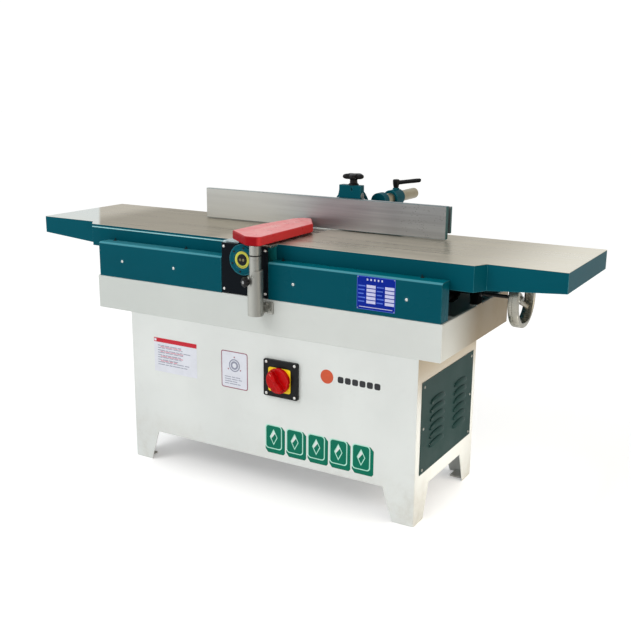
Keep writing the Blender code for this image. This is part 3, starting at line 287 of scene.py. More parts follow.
def brushed(name, base, roughness=0.3, along="X", metallic=0.9, contrast=0.16, depth=0.12, stain=None,
        lines=0.45, turned=0.0):
    """Machined metal: fine lines along one axis, uneven polish, faint stains and, where turned is set,
    painted shade on the side facing +X.
    """
    stretch = {"X": (0.02, 1.0, 1.0), "Y": (1.0, 0.02, 1.0), "Z": (1.0, 1.0, 0.02)}[along]
    made = Finish(name, roughness, metallic)
    fine = made.noise(900.0, 3.0, 0.6, stretch)
    broad = made.noise(70.0, 4.0, 0.6, stretch)
    colour = made.mix(made.span(broad, 0.3, 0.7), shade(base, 1.0 - contrast), shade(base, 1.0 + contrast))
    colour = made.mix(made.span(fine, 0.45, 0.8, 0.0, lines), colour, shade(base, 0.7))
    if stain is not None:
        colour = made.mix(made.span(made.noise(8.0, 6.0, 0.62), 0.52, 0.78, 0.0, 0.5), colour, stain)
    # painted shade: darker on the side that faces +X
    if turned > 0.0:
        colour = made.mix(made.span(made.facing("X"), -0.3, 0.95, 0.0, turned), colour, shade(base, 0.22))
    made.colour(colour)
    made.rough(made.span(broad, 0.25, 0.75, roughness - 0.08, roughness + 0.12))
    made.bump(fine, depth, 0.0003)
    return made.mat


def plastic(name, base, roughness=0.4, grain=0.12, light=None, gloss=0.35, vary=0.13):
    """Moulded plastic: fine grain, dull patches from handling and paler edges."""
    made = Finish(name, roughness, 0.0, gloss)
    handled = made.noise(35.0, 4.0, 0.6)
    colour = made.mix(made.span(handled, 0.3, 0.7), shade(base, 1.0 - vary), shade(base, 1.0 + vary))
    if light is not None:
        colour = made.mix(made.times(made.edges(0.001), 0.35), colour, light)
    made.colour(colour)
    made.rough(made.span(handled, 0.3, 0.75, roughness - 0.08, roughness + 0.12))
    made.bump(made.noise(1300.0, 2.0), grain, 0.0002)
    return made.mat


def cast(name, base, roughness=0.6, metallic=0.3, light=None):
    """Rough casting or worn dark metal."""
    made = Finish(name, roughness, metallic)
    lumps = made.noise(160.0, 5.0, 0.62)
    colour = made.mix(made.span(lumps, 0.3, 0.72), shade(base, 0.75), shade(base, 1.25))
    if light is not None:
        colour = made.mix(made.times(made.edges(), 0.6), colour, light)
    made.colour(colour)
    made.rough(made.span(lumps, 0.3, 0.7, roughness - 0.1, roughness + 0.1))
    made.bump(lumps, 0.3, 0.0006)
    return made.mat


TEAL_DEEP = rgb(0, 79, 93)
TEAL_LIGHT = rgb(96, 186, 200)
IRON_TONE = rgb(154, 144, 129)


def table_finish():
    """Ground iron top with lengthwise grinding marks and painted reflections and shade along it, teal-painted
    sides and a bright line where the two meet.
    """
    made = Finish("table_iron", gloss=0.05)
    x = made.axis("X")
    z = made.axis("Z")
    up = made.span(made.facing("Z"), 0.8, 0.95)
    high = made.span(z, TABLE_TOP - 0.015, TABLE_TOP - 0.0105)
    top = made.times(up, high)
    rim = made.span(z, TABLE_TOP - 0.0018, TABLE_TOP - 0.0008)
    bare = made.math("MAXIMUM", top, rim)
    # ground metal
    fine = made.noise(700.0, 3.0, 0.6, (0.012, 1.0, 1.0))
    broad = made.noise(42.0, 5.0, 0.62, (0.035, 1.0, 1.0))
    patch = made.noise(5.0, 5.0, 0.6, (0.5, 1.6, 1.0), 0.4)
    metal = made.mix(made.span(broad, 0.3, 0.7), shade(IRON_TONE, 0.8), shade(IRON_TONE, 1.16))
    metal = made.mix(made.span(patch, 0.4, 0.75, 0.0, 0.55), metal, rgb(134, 120, 104))
    metal = made.mix(made.span(fine, 0.5, 0.85, 0.0, 0.35), metal, rgb(108, 98, 86))
    # painted reflection of the red guard near the cutter
    guard_reflection = made.times(made.span(x, 0.42, 0.12), made.span(x, -0.3, -0.02))
    metal = made.mix(made.times(guard_reflection, 0.35), metal, rgb(182, 150, 140))
    # painted dim reflection: a darker band along the outfeed table
    dim_reflection = made.times(made.span(x, -0.12, -0.22), made.span(x, -0.9, -0.72))
    metal = made.mix(made.times(dim_reflection, 0.55), metal, rgb(106, 100, 90))
    # painted highlight: paler towards the infeed end
    metal = made.mix(made.span(x, 0.64, 1.02, 0.0, 0.85), metal, rgb(240, 234, 216))
    # painted reflection: a pale outfeed tip, bounded by a slanted line
    slant = made.math("ADD", made.times(x, TIP_EDGE[0]), made.times(made.axis("Y"), TIP_EDGE[1]))
    metal = made.mix(made.span(slant, TIP_EDGE[2] - 0.006, TIP_EDGE[2] + 0.006, 0.0, 0.85), metal,
        rgb(226, 238, 244))
    metal = made.mix(made.times(rim, 0.55), metal, rgb(250, 244, 228))
    # paint
    drift = made.noise(2.0, 4.0)
    coat = made.mix(made.span(drift, 0.25, 0.75), shade(TEAL_DEEP, 0.9), shade(TEAL_DEEP, 1.1))
    # paint edges paler: partly rubbed wear, partly painted highlight
    rubbed_highlight = made.times(made.edges(), made.span(made.noise(40.0, 4.0), 0.3, 0.6, 0.3, 0.8))
    coat = made.mix(rubbed_highlight, coat, TEAL_LIGHT)
    made.colour(made.mix(bare, coat, metal))
    made.feed(made.bsdf.inputs["Metallic"], made.times(bare, 0.75))
    # how strongly the metal shines when seen at a flat angle, changed along the table with the painted
    # reflections
    glare = made.mix(made.span(x, 0.4, 0.06), rgb(204, 201, 195), rgb(240, 238, 234))
    glare = made.mix(made.span(x, -0.02, -0.16), glare, rgb(218, 214, 208))
    glare = made.mix(dim_reflection, glare, rgb(158, 152, 144))
    glare = made.mix(made.span(x, 0.64, 1.02), glare, rgb(255, 255, 255))
    glare = made.mix(made.span(slant, TIP_EDGE[2] - 0.006, TIP_EDGE[2] + 0.006), glare, rgb(240, 246, 250))
    made.feed(made.bsdf.inputs["Specular Tint"], glare)
    polish = made.span(broad, 0.25, 0.75, 0.24, 0.42)
    made.rough(made.math("ADD", made.times(bare, polish), made.times(made.math("SUBTRACT", 1.0, bare), 0.36)))
    made.bump(made.times(fine, bare), 0.14, 0.0003)
    made.bump(made.noise(420.0, 2.0), 0.06, 0.0003)
    return made.mat


def fence_finish():
    """Machined face with lengthwise marks, a few casting pits and painted reflections along it; the back and
    ends are painted.
    """
    made = Finish("fence_iron", gloss=0.15)
    facing = made.span(made.facing("Y"), -0.6, -0.9)
    lid = made.span(made.facing("Z"), 0.6, 0.9)
    bare = made.math("MAXIMUM", facing, lid)
    x = made.axis("X")
    fine = made.noise(800.0, 3.0, 0.6, (0.01, 1.0, 1.0))
    broad = made.noise(55.0, 5.0, 0.62, (0.03, 1.0, 1.0))
    steel = rgb(176, 179, 180)
    metal = made.mix(made.span(broad, 0.3, 0.7), shade(steel, 0.84), shade(steel, 1.14))
    metal = made.mix(made.span(fine, 0.5, 0.85, 0.0, 0.35), metal, rgb(120, 116, 112))
    # painted reflection: darker through the middle of the face and on towards the infeed end
    dark = made.times(made.span(x, -0.12, 0.1), made.span(x, 0.42, 0.22))
    metal = made.mix(made.times(dark, 0.42), metal, rgb(112, 111, 118))
    metal = made.mix(made.span(x, 0.24, 0.34, 0.0, 0.5), metal, rgb(116, 115, 118))
    # painted highlight: paler towards the outfeed end
    left = made.span(x, 0.06, -0.26)
    metal = made.mix(made.times(left, 0.7), metal, rgb(212, 212, 207))
    pits = made.times(made.span(made.cells(170.0), 0.26, 0.12), made.span(made.noise(30.0, 3.0), 0.5, 0.57))
    pits = made.times(pits, made.span(x, 0.3, 0.38))
    metal = made.mix(made.times(pits, 0.85), metal, rgb(52, 50, 50))
    coat = made.mix(made.span(made.noise(4.0, 4.0), 0.3, 0.7), rgb(14, 74, 74), rgb(24, 92, 92))
    # paint edges paler: partly rubbed wear, partly painted highlight
    coat = made.mix(made.times(made.edges(), 0.6), coat, TEAL_LIGHT)
    made.colour(made.mix(bare, coat, metal))
    made.feed(made.bsdf.inputs["Metallic"], made.times(bare, 0.7))
    made.rough(made.math("ADD", 0.36, made.times(made.math("SUBTRACT", broad, 0.5), 0.25)))
    made.bump(made.times(fine, bare), 0.14, 0.0003)
    made.bump(pits, -0.5, 0.0008)
    return made.mat


def guard_finish():
    """Red paint with a pale painted sheen on top, a painted highlight streak down its middle, painted shade
    on the front, painted light on the right side and painted highlights along the edges.
    """
    made = Finish("guard_red", gloss=0.1)
    deep = rgb(188, 22, 38)
    top = made.span(made.facing("Z"), 0.86, 0.985)
    body = made.mix(made.span(made.noise(14.0, 5.0, 0.6), 0.3, 0.7), shade(deep, 0.84), shade(deep, 1.12))
    # painted sheen: the top in pale pink
    top_sheen = made.mix(made.span(made.noise(22.0, 5.0, 0.6), 0.3, 0.75), rgb(237, 138, 140), rgb(245, 170, 168))
    # painted highlight: a pale streak down the middle, broken into speckles
    streak = made.span(made.math("ABSOLUTE", made.math("SUBTRACT", made.axis("X"), -0.005)), 0.022, 0.004)
    centre = made.span(made.math("ABSOLUTE", made.math("SUBTRACT", made.axis("Y"), dy(0.12))), 0.11, 0.02)
    rubbed_highlight = made.times(made.times(streak, centre), made.span(made.noise(160.0, 5.0, 0.7), 0.42, 0.62))
    top_sheen = made.mix(made.times(rubbed_highlight, 0.75), top_sheen, rgb(248, 206, 196))
    # painted shade on the front, painted light on the side facing +X
    facing = made.span(made.facing("Y"), -0.3, -0.85)
    body = made.mix(facing, body, rgb(150, 6, 18))
    body = made.mix(made.span(made.facing("X"), 0.3, 0.85), body, rgb(214, 56, 58))
    colour = made.mix(top, body, top_sheen)
    # painted highlight along the edges, broken by noise
    edge_highlight = made.times(made.edges(), made.span(made.noise(90.0, 5.0, 0.7), 0.46, 0.6))
    colour = made.mix(made.times(edge_highlight, 0.75), colour, rgb(246, 178, 176))
    made.colour(colour)
    made.rough(made.span(made.noise(30.0, 5.0), 0.3, 0.7, 0.26, 0.44))
    made.bump(made.noise(380.0, 3.0), 0.08, 0.0004)
    made.bump(made.noise(60.0, 4.0), 0.03, 0.0008)
    return made.mat


WHITE = paint("white_paint", rgb(222, 226, 224), rgb(244, 247, 248), 0.42, 0.1, 0.4, rgb(176, 168, 152), 0.25,
    side_painted_shade)
BED_WHITE = paint("bed_paint", rgb(214, 218, 215), rgb(246, 248, 248), 0.42, 0.16, 0.6, None, 0.25, bed_shade)
TEAL = paint("teal_paint", TEAL_DEEP, TEAL_LIGHT, 0.34, 0.1, 0.6, None, 0.05)
COVER = paint("cover_paint", TEAL_DEEP, TEAL_LIGHT, 0.3, 0.1, 0.5, None, 0.05, ledge_painted_highlight)
# paler copy of the teal paint: painted light on the cheek beside the bearing plate
CHEEK = paint("cheek_paint", rgb(26, 132, 138), TEAL_LIGHT, 0.34, 0.1, 0.5, None, 0.1)
LOUVRE = paint("louvre_paint", rgb(22, 50, 48), rgb(92, 130, 130), 0.34, 0.12, 0.6, None, 0.08)
BLACK = paint("black_paint", rgb(12, 18, 24), rgb(90, 94, 104), 0.42, 0.1, 0.5, None, 0.06)
CAST = cast("grey_casting", rgb(92, 92, 94), 0.55, 0.4, rgb(150, 150, 150))
TABLE = table_finish()
LIP = brushed("lip_steel", rgb(212, 208, 194), 0.24, "X", 0.85, 0.1, 0.1)
LIP_COOL = brushed("lip_steel_cool", rgb(188, 208, 212), 0.24, "X", 0.85, 0.1, 0.1)
FENCE = fence_finish()
# its last figure sets the painted shade on the +X side
STEEL = brushed("bright_steel", rgb(190, 191, 185), 0.3, "Z", 0.8, 0.08, 0.08, rgb(150, 142, 128), 0.3, 0.55)
BAR_STEEL = brushed("bar_steel", rgb(164, 154, 130), 0.32, "Y", 0.9, 0.12, 0.12, rgb(140, 124, 92))
CHROME = brushed("wheel_chrome", rgb(176, 174, 164), 0.26, "X", 0.95, 0.04, 0.02, rgb(150, 144, 128), 0.08)
SHEET = brushed("sheet_steel", rgb(168, 170, 170), 0.42, "Z", 0.8, 0.1, 0.1)
PLASTIC = plastic("black_plastic", rgb(18, 18, 20), 0.36, 0.12, rgb(90, 90, 92), 0.22)
YELLOW = plastic("yellow_plastic", rgb(248, 214, 20), 0.36, 0.08, rgb(255, 236, 120))
DIAL = plastic("dial_yellow", rgb(192, 190, 76), 0.46, 0.1, rgb(206, 202, 128), 0.1)
RED = plastic("red_plastic", rgb(182, 2, 5), 0.28, 0.08, rgb(240, 120, 120), 0.16)
ROSE = plastic("rose_plastic", rgb(226, 96, 84), 0.4, 0.05)
SCREW = brushed("pale_screw", rgb(236, 236, 234), 0.3, "Z", 0.7, 0.05, 0.05)
GUARD = guard_finish()
RUBBER = cast("belt_rubber", rgb(28, 28, 28), 0.8, 0.0)
BRASS = brushed("brass", rgb(128, 122, 92), 0.34, "Y", 0.95, 0.1, 0.05)
# pale copy of the teal paint: painted highlight for the outfeed table's front rib
RIB_HIGHLIGHT = paint("rib_highlight_paint", rgb(150, 206, 212), rgb(200, 232, 234), 0.32, 0.06, 0.6)
OILED = cast("oiled_iron", rgb(30, 30, 31), 0.5, 0.3)
DARK = cast("dark_recess", rgb(12, 13, 14), 0.8, 0.0)

NODE_FINISH = {WHITE: ["cabinet"], BED_WHITE: ["bed_frame"], TEAL: ["belt_guard", "pulley_cover",
    "fence_carriage", "fence_clamp_block", "fence_support", "fence_quadrant"],
    BLACK: ["bearing_plate_front", "chip_chute", "motor_mount"], CAST: ["bearing_housing_front",
    "bearing_housing_rear", "cutter_pulley", "motor_pulley", "motor_body"], OILED: ["infeed_rocker_inner",
    "infeed_rocker_outer", "outfeed_rocker_inner", "outfeed_rocker_outer", "infeed_screw", "outfeed_screw",
    "infeed_nut", "outfeed_nut"], TABLE: ["infeed_table", "outfeed_table"],
    LIP: ["infeed_lip", "knife_1", "knife_2", "knife_3"], LIP_COOL: ["outfeed_lip"], FENCE: ["fence_plate"],
    STEEL: ["guard_bracket", "fence_hinge_pin", "motor_shaft", "bearing_front", "bearing_rear"],
    SHEET: ["dust_port"], RUBBER: ["drive_belt_front", "drive_belt_rear"],}


def dress(node, mat):
    """Finish for a CAD node that keeps its shape, with softened edges."""
    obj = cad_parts[node]
    for slot in obj.material_slots:
        slot.material = mat
    weld = obj.modifiers.new("weld", "WELD")
    weld.merge_threshold = 0.00001
    flat = obj.modifiers.new("flat", "DECIMATE")
    flat.decimate_type = "DISSOLVE"
    flat.angle_limit = math.radians(0.5)
    bevel = obj.modifiers.new("bevel", "BEVEL")
    bevel.width = EDGE_WIDTH
    bevel.segments = 2
    bevel.limit_method = "ANGLE"
    bevel.angle_limit = math.radians(35)
    normals = obj.modifiers.new("normals", "WEIGHTED_NORMAL")
    normals.weight = 60


# ---------------------------------------------------------------- shapes

def at(axis, u, v, along):
    """Point with u and v across the axis and along measured on it."""
    return {"X": (along, u, v), "Y": (u, along, v), "Z": (u, v, along)}[axis]


def place(mesh, name, mat, body, replaces=(), angle=32.0):
    """Turns a mesh into a piece that rides on a body."""
    mesh.name = name
    mesh.materials.clear()
    mesh.materials.append(mat)
    mesh.shade_smooth()
    mesh.set_sharp_from_angle(angle=math.radians(angle))
    obj = bpy.data.objects.new(name, mesh)
    bpy.context.scene.collection.objects.link(obj)
    even = obj.modifiers.new("normals", "WEIGHTED_NORMAL")
    even.keep_sharp = True
    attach(obj, body)
    if replaces:
        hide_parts(*replaces)
    return obj


def closed(bm):
    """Mesh of a bmesh, with its faces turned outwards."""
    bmesh.ops.remove_doubles(bm, verts=bm.verts, dist=0.000002)
    bmesh.ops.recalc_face_normals(bm, faces=bm.faces)
    mesh = bpy.data.meshes.new("shape")
    bm.to_mesh(mesh)
    bm.free()
    return mesh


def lathe(axis, centre, profile, segments=ROUND, sides=0, closed_ring=False, lobes=None):
    """Turned shape.

    profile lists (along, radius); a negative radius is cut as a regular polygon with that many sides.
    """
    bm = bmesh.new()
    rings = []
    for along, radius in profile:
        if abs(radius) < 1e-7:
            rings.append([bm.verts.new(at(axis, 0.0, 0.0, along))])
            continue
        ring = []
        for index in range(segments):
            turn = math.tau * index / segments
            reach = abs(radius)
            if radius < 0 and sides:
                part = math.tau / sides
                reach *= math.cos(part / 2) / math.cos(turn % part - part / 2)
            if lobes is not None:
                reach *= lobes(turn)
            ring.append(bm.verts.new(at(axis, reach * math.cos(turn), reach * math.sin(turn), along)))
        rings.append(ring)
    pairs = list(zip(rings, rings[1:]))
    if closed_ring:
        pairs.append((rings[-1], rings[0]))
    for low, high in pairs:
        for index in range(segments):
            after = (index + 1) % segments
            if len(low) == 1 and len(high) == 1:
                continue
            if len(low) == 1:
                bm.faces.new((low[0], high[index], high[after]))
            elif len(high) == 1:
                bm.faces.new((low[index], low[after], high[0]))
            else:
                bm.faces.new((low[index], low[after], high[after], high[index]))
    bmesh.ops.translate(bm, verts=bm.verts, vec=Vector(centre))
    return closed(bm)


def rod(axis, centre, start, end, radius, segments):
    """Straight round bar between two places on an axis."""
    return lathe(axis, centre, [(start, 0.0), (start, radius), (end, radius), (end, 0.0)], segments)


def band(axis, centre, profile, segments=ROUND):
    """Turned shape whose profile closes on itself, clear of the axis."""
    return lathe(axis, centre, profile, segments, closed_ring=True)


TURN = {"X": Matrix(((0, 0, 1, 0), (1, 0, 0, 0), (0, 1, 0, 0), (0, 0, 0, 1))),
    "Y": Matrix(((1, 0, 0, 0), (0, 0, -1, 0), (0, 1, 0, 0), (0, 0, 0, 1))), "Z": Matrix.Identity(4)}


def prism(axis, outline, start, end, edge=0.0, holes=(), steps=3):
    """Flat outline given thickness along an axis, with rounded edges and any holes."""
    curve = bpy.data.curves.new("outline", "CURVE")
    curve.dimensions = "2D"
    curve.fill_mode = "BOTH"
    half = (end - start) / 2
    curve.extrude = half - edge
    curve.bevel_depth = edge
    curve.bevel_resolution = steps
    curve.offset = -edge
    for index, loop in enumerate([outline, *holes]):
        area = sum(a[0] * b[1] - b[0] * a[1] for a, b in zip(loop, loop[1:] + loop[:1]))
        if (area > 0) == (index > 0):
            loop = loop[::-1]
        spline = curve.splines.new("POLY")
        spline.points.add(len(loop) - 1)
        for point, (u, v) in zip(spline.points, loop):
            point.co = (u, v, 0.0, 1.0)
        spline.use_cyclic_u = True
    obj = bpy.data.objects.new("outline", curve)
    mesh = bpy.data.meshes.new_from_object(obj)
    bpy.data.objects.remove(obj)
    bpy.data.curves.remove(curve)
    middle = Vector(at(axis, 0.0, 0.0, (start + end) / 2))
    mesh.transform(Matrix.Translation(middle) @ TURN[axis])
    bm = bmesh.new()
    bm.from_mesh(mesh)
    bpy.data.meshes.remove(mesh)
    return closed(bm)


def block(low, high, edge=0.001):
    """Box with rounded edges."""
    bm = bmesh.new()
    bmesh.ops.create_cube(bm, size=1.0)
    low, high = Vector(low), Vector(high)
    size = high - low
    bmesh.ops.scale(bm, vec=size, verts=bm.verts)
    bmesh.ops.translate(bm, vec=(low + high) / 2, verts=bm.verts)
    if edge > 0:
        bmesh.ops.bevel(bm, geom=bm.edges, offset=edge, segments=2, profile=0.5, affect="EDGES")
    return closed(bm)


def loft(rows, last=True):
    """Closed shape through rings of points; last closes the far end too."""
    bm = bmesh.new()
    rings = [[bm.verts.new(point) for point in row] for row in rows]
    count = len(rings[0])
    for a, b in zip(rings, rings[1:]):
        for index in range(count):
            after = (index + 1) % count
            bm.faces.new((a[index], a[after], b[after], b[index]))
    bm.faces.new(rings[0][::-1])
    if last:
        bm.faces.new(rings[-1])
    return closed(bm)


def merge(*meshes):
    """One mesh of several closed shapes."""
    bm = bmesh.new()
    for mesh in meshes:
        bm.from_mesh(mesh)
        bpy.data.meshes.remove(mesh)
    made = bpy.data.meshes.new("merged")
    bm.to_mesh(made)
    bm.free()
    return made


def moved(mesh, matrix):
    made = mesh.copy()
    made.transform(matrix)
    return made


def boolean(mesh, other, operation="DIFFERENCE"):
    """Exact Boolean of two closed meshes; the second is used up."""
    base = bpy.data.objects.new("base", mesh)
    tool = bpy.data.objects.new("tool", other)
    for obj in (base, tool):
        bpy.context.scene.collection.objects.link(obj)
    step = base.modifiers.new("step", "BOOLEAN")
    step.operation = operation
    step.solver = "EXACT"
    step.object = tool
    graph = bpy.context.evaluated_depsgraph_get()
    graph.update()
    made = bpy.data.meshes.new_from_object(base.evaluated_get(graph))
    bpy.data.objects.remove(base)
    bpy.data.objects.remove(tool)
    bpy.data.meshes.remove(mesh)
    bpy.data.meshes.remove(other)
    return made


def arc(centre, radius, start, end, count):
    """Points on an arc, angles in degrees."""
    turns = [math.radians(start + (end - start) * i / count) for i in range(count + 1)]
    return [(centre[0] + radius * math.cos(t), centre[1] + radius * math.sin(t)) for t in turns]


def circle(u, v, radius, count=ROUND):
    return arc((u, v), radius, 0, 360 - 360 / count, count - 1)


def rectangle(u0, u1, v0, v1):
    return [(u0, v0), (u1, v0), (u1, v1), (u0, v1)]


def rounded(corners, radii, steps=6):
    """Outline with its corners rounded."""
    if not isinstance(radii, (list, tuple)):
        radii = [radii] * len(corners)
    made = []
    count = len(corners)
    for index, radius in enumerate(radii):
        here = Vector(corners[index])
        before = (Vector(corners[index - 1]) - here).normalized()
        after = (Vector(corners[(index + 1) % count]) - here).normalized()
        half = before.angle(after) / 2
        reach = radius / math.tan(half)
        centre = here + (before + after).normalized() * (radius / math.sin(half))
        start = here + before * reach - centre
        end = here + after * reach - centre
        sweep = start.angle_signed(end)
        for step in range(steps + 1):
            turn = Matrix.Rotation(-sweep * step / steps, 2)
            made.append(tuple(centre + turn @ start))
    return made


# ---------------------------------------------------------------- fasteners

def hex_head(axis, centre, across, height, out):
    """Hexagon head with a chamfered top, on a plain washer. out is +1 or -1 along the axis."""
    radius = across / 1.732
    washer = lathe(axis, centre, [(0.0, 0.0), (0.0, radius * 1.2), (out * 0.0012, radius * 1.24),
        (out * 0.0016, radius * 1.16), (out * 0.0016, 0.0)], SMALL)
    head = lathe(axis, centre, [(out * 0.0016, 0.0), (out * 0.0016, -radius),
        (out * (height - 0.001), -radius), (out * height, -radius * 0.86), (out * height, 0.0)], 48, 6)
    return merge(washer, head)


def socket_head(axis, centre, radius, height, out):
    """Cylinder head with a hexagon socket."""
    profile = [(0.0, 0.0), (0.0, radius), (out * height * 0.9, radius), (out * height, radius * 0.9),
        (out * height, radius * 0.62), (out * height * 0.96, -radius * 0.58),
        (out * height * 0.35, -radius * 0.58), (out * height * 0.3, 0.0)]
    return lathe(axis, centre, profile, 48, 6)


def pan_head(axis, centre, radius, out):
    """Domed screw head with a cross recess."""
    height = radius * 0.62
    dome = [(0.0, 0.0), (0.0, radius)]
    dome += [(out * height * math.sin(math.radians(a)), radius * math.cos(math.radians(a)) ** 0.8)
        for a in (15, 35, 55, 75)]
    dome += [(out * height, 0.0)]
    head = lathe(axis, (0, 0, 0), dome, 24)
    for turn in (0, 90):
        wing = [radius * 0.13, radius * 0.58][:: 1 if turn else -1]
        low = at(axis, -wing[0], -wing[1], out * height * 0.4)
        high = at(axis, wing[0], wing[1], out * height * 1.3)
        lows = [min(a, b) for a, b in zip(low, high)]
        highs = [max(a, b) for a, b in zip(low, high)]
        head = boolean(head, block(lows, highs, 0.0))
    head.transform(Matrix.Translation(Vector(centre)))
    return head


def screws(name, axis, centres, radius, out, mat, body):
    """A set of pan-head screws as one piece."""
    head = pan_head(axis, (0, 0, 0), radius, out)
    made = merge(*[moved(head, Matrix.Translation(Vector(c))) for c in centres])
    bpy.data.meshes.remove(head)
    return place(made, name, mat, body)


def collars(name, axis, centres, inner, outer, height, out, mat, body):
    """Thin rings round screw heads."""
    rings = [band(axis, c, [(0.0, inner), (0.0, outer), (out * height * 0.6, outer),
        (out * height, outer * 0.93), (out * height, inner)], SMALL) for c in centres]
    return place(merge(*rings), name, mat, body)


# ---------------------------------------------------------------- stand

def make_front_fittings():
    y = FRONT - 0.0001
    places = [(x, y, COVER_SCREW_Z) for x in (-0.5485, -0.3155, 0.1715, 0.5715)]
    screws("cover_screws", "Y", places, 0.0052, -1, SCREW, "stand")
    collars("cover_screw_rings", "Y", places, 0.0053, 0.0095, 0.001, -1, TEAL, "stand")
    corners = [(-0.1, y, 0.834), (-0.1, y, 0.69), (0.065, y, 0.834), (0.065, y, 0.69)]
    screws("plate_screws", "Y", corners, 0.005, -1, SCREW, "stand")
    cheek = rounded(rectangle(0.042, 0.0735, 0.772, 0.8413), 0.0015)
    place(prism("Y", cheek, dy(0.053), dy(0.0548), 0.0006), "infeed_cheek", CHEEK, "infeed_table")
    # near-black hooks: painted shade in the notches at the back of the ledge
    for index, x in enumerate((-0.6185, -0.2935, 0.1065, 0.6015)):
        hook = block((x - 0.006, dy(0.04), 0.7978), (x + 0.004, dy(0.052), 0.7992), 0.0004)
        tab = block((x - 0.006, dy(0.0495), 0.7985), (x - 0.0035, dy(0.052), 0.8065), 0.0006)
        place(merge(hook, tab), "cover_hook_%d" % (index + 1), DARK, "stand")


def make_covers():
    """Folded sheet covers along both long sides, each with a full round bend and closed ends."""
    sheet, bend, top = COVER_SHEET, COVER_BEND, COVER_TOP
    for name, flip in (("front_cover_left", 1), ("front_cover_right", 1), ("rear_cover_left", -1),
            ("rear_cover_right", -1)):
        low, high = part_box(name)
        face, back = (low.y, high.y) if flip > 0 else (high.y, low.y)
        centre = (face + flip * bend, top - bend)
        turns = (180, 90) if flip > 0 else (0, 90)
        outer = [(face, low.z)] + arc(centre, bend, *turns, 12) + [(back, top)]
        inner = [(back, top - sheet)] + arc(centre, bend - sheet, turns[1], turns[0], 12)
        inner += [(face + flip * sheet, low.z)]
        strip = prism("X", outer + inner, low.x, high.x, 0.0003)
        ends = [prism("X", outer + [(back, low.z)], x, x + sheet, 0.0008) for x in (low.x, high.x - sheet)]
        place(merge(strip, *ends), name + "_sheet", COVER, "stand", [name], 40)


def make_bearing_cap():
    y = dy(-0.0003)
    c = (CUTTER.x, y, CUTTER.z)
    ring = band("Y", c, [(0.0, 0.0182), (0.0, 0.052), (-0.0075, 0.052), (-0.0082, 0.0512), (-0.0082, 0.049),
        (-0.0112, 0.047), (-0.012, 0.0455), (-0.012, 0.034), (-0.0112, 0.033), (-0.0098, 0.0325),
        (-0.0098, 0.0182)], FINE)
    place(ring, "bearing_cap_body", TEAL, "stand", ["bearing_cap_front"])
    bead = band("Y", c, [(-0.0083, 0.0496), (-0.0094, 0.0502), (-0.0094, 0.0512), (-0.0083, 0.0516)], FINE)
    place(bead, "bearing_cap_bead", TEAL, "stand")
    dial = band("Y", c, [(-0.0099, 0.0192), (-0.0112, 0.0196), (-0.0116, 0.0202), (-0.0116, 0.027),
        (-0.011, 0.0282), (-0.0099, 0.0286)], FINE)
    place(dial, "bearing_dial_ring", DIAL, "stand")
    ticks = []
    for step in range(-4, 5):
        mark = block((-0.0006, -0.0003, -0.0256), (0.0006, 0.0003, -0.0228), 0.0)
        turn = Matrix.Rotation(math.radians(step * 9), 4, "Y")
        mark.transform(Matrix.Translation(Vector((c[0], y - 0.0117, c[2]))) @ turn)
        ticks.append(mark)
    place(merge(*ticks), "bearing_dial_ticks", PLASTIC, "stand")
    plug = lathe("Y", c, [(-0.0062, 0.0), (-0.0062, 0.0172), (-0.012, 0.0172), (-0.0128, 0.0164),
        (-0.0128, 0.0)], ROUND)
    place(plug, "shaft_end_cap", PLASTIC, "cutter")
    pins = [lathe("Y", (c[0] + side * 0.0062, y, c[2]), [(-0.012, 0.0), (-0.012, 0.0046), (-0.0136, 0.0046),
        (-0.0142, 0.0038), (-0.0138, 0.0)], SMALL) for side in (-1, 1)]
    place(merge(*pins), "shaft_end_pins", BRASS, "cutter")
    heads = []
    for step in range(6):
        turn = math.radians(60 * step + 20)
        spot = (c[0] + 0.0402 * math.cos(turn), y - 0.0119, c[2] + 0.0402 * math.sin(turn))
        heads.append(socket_head("Y", spot, 0.0034, 0.0022, -1))
    place(merge(*heads), "bearing_cap_screws", PLASTIC, "stand")


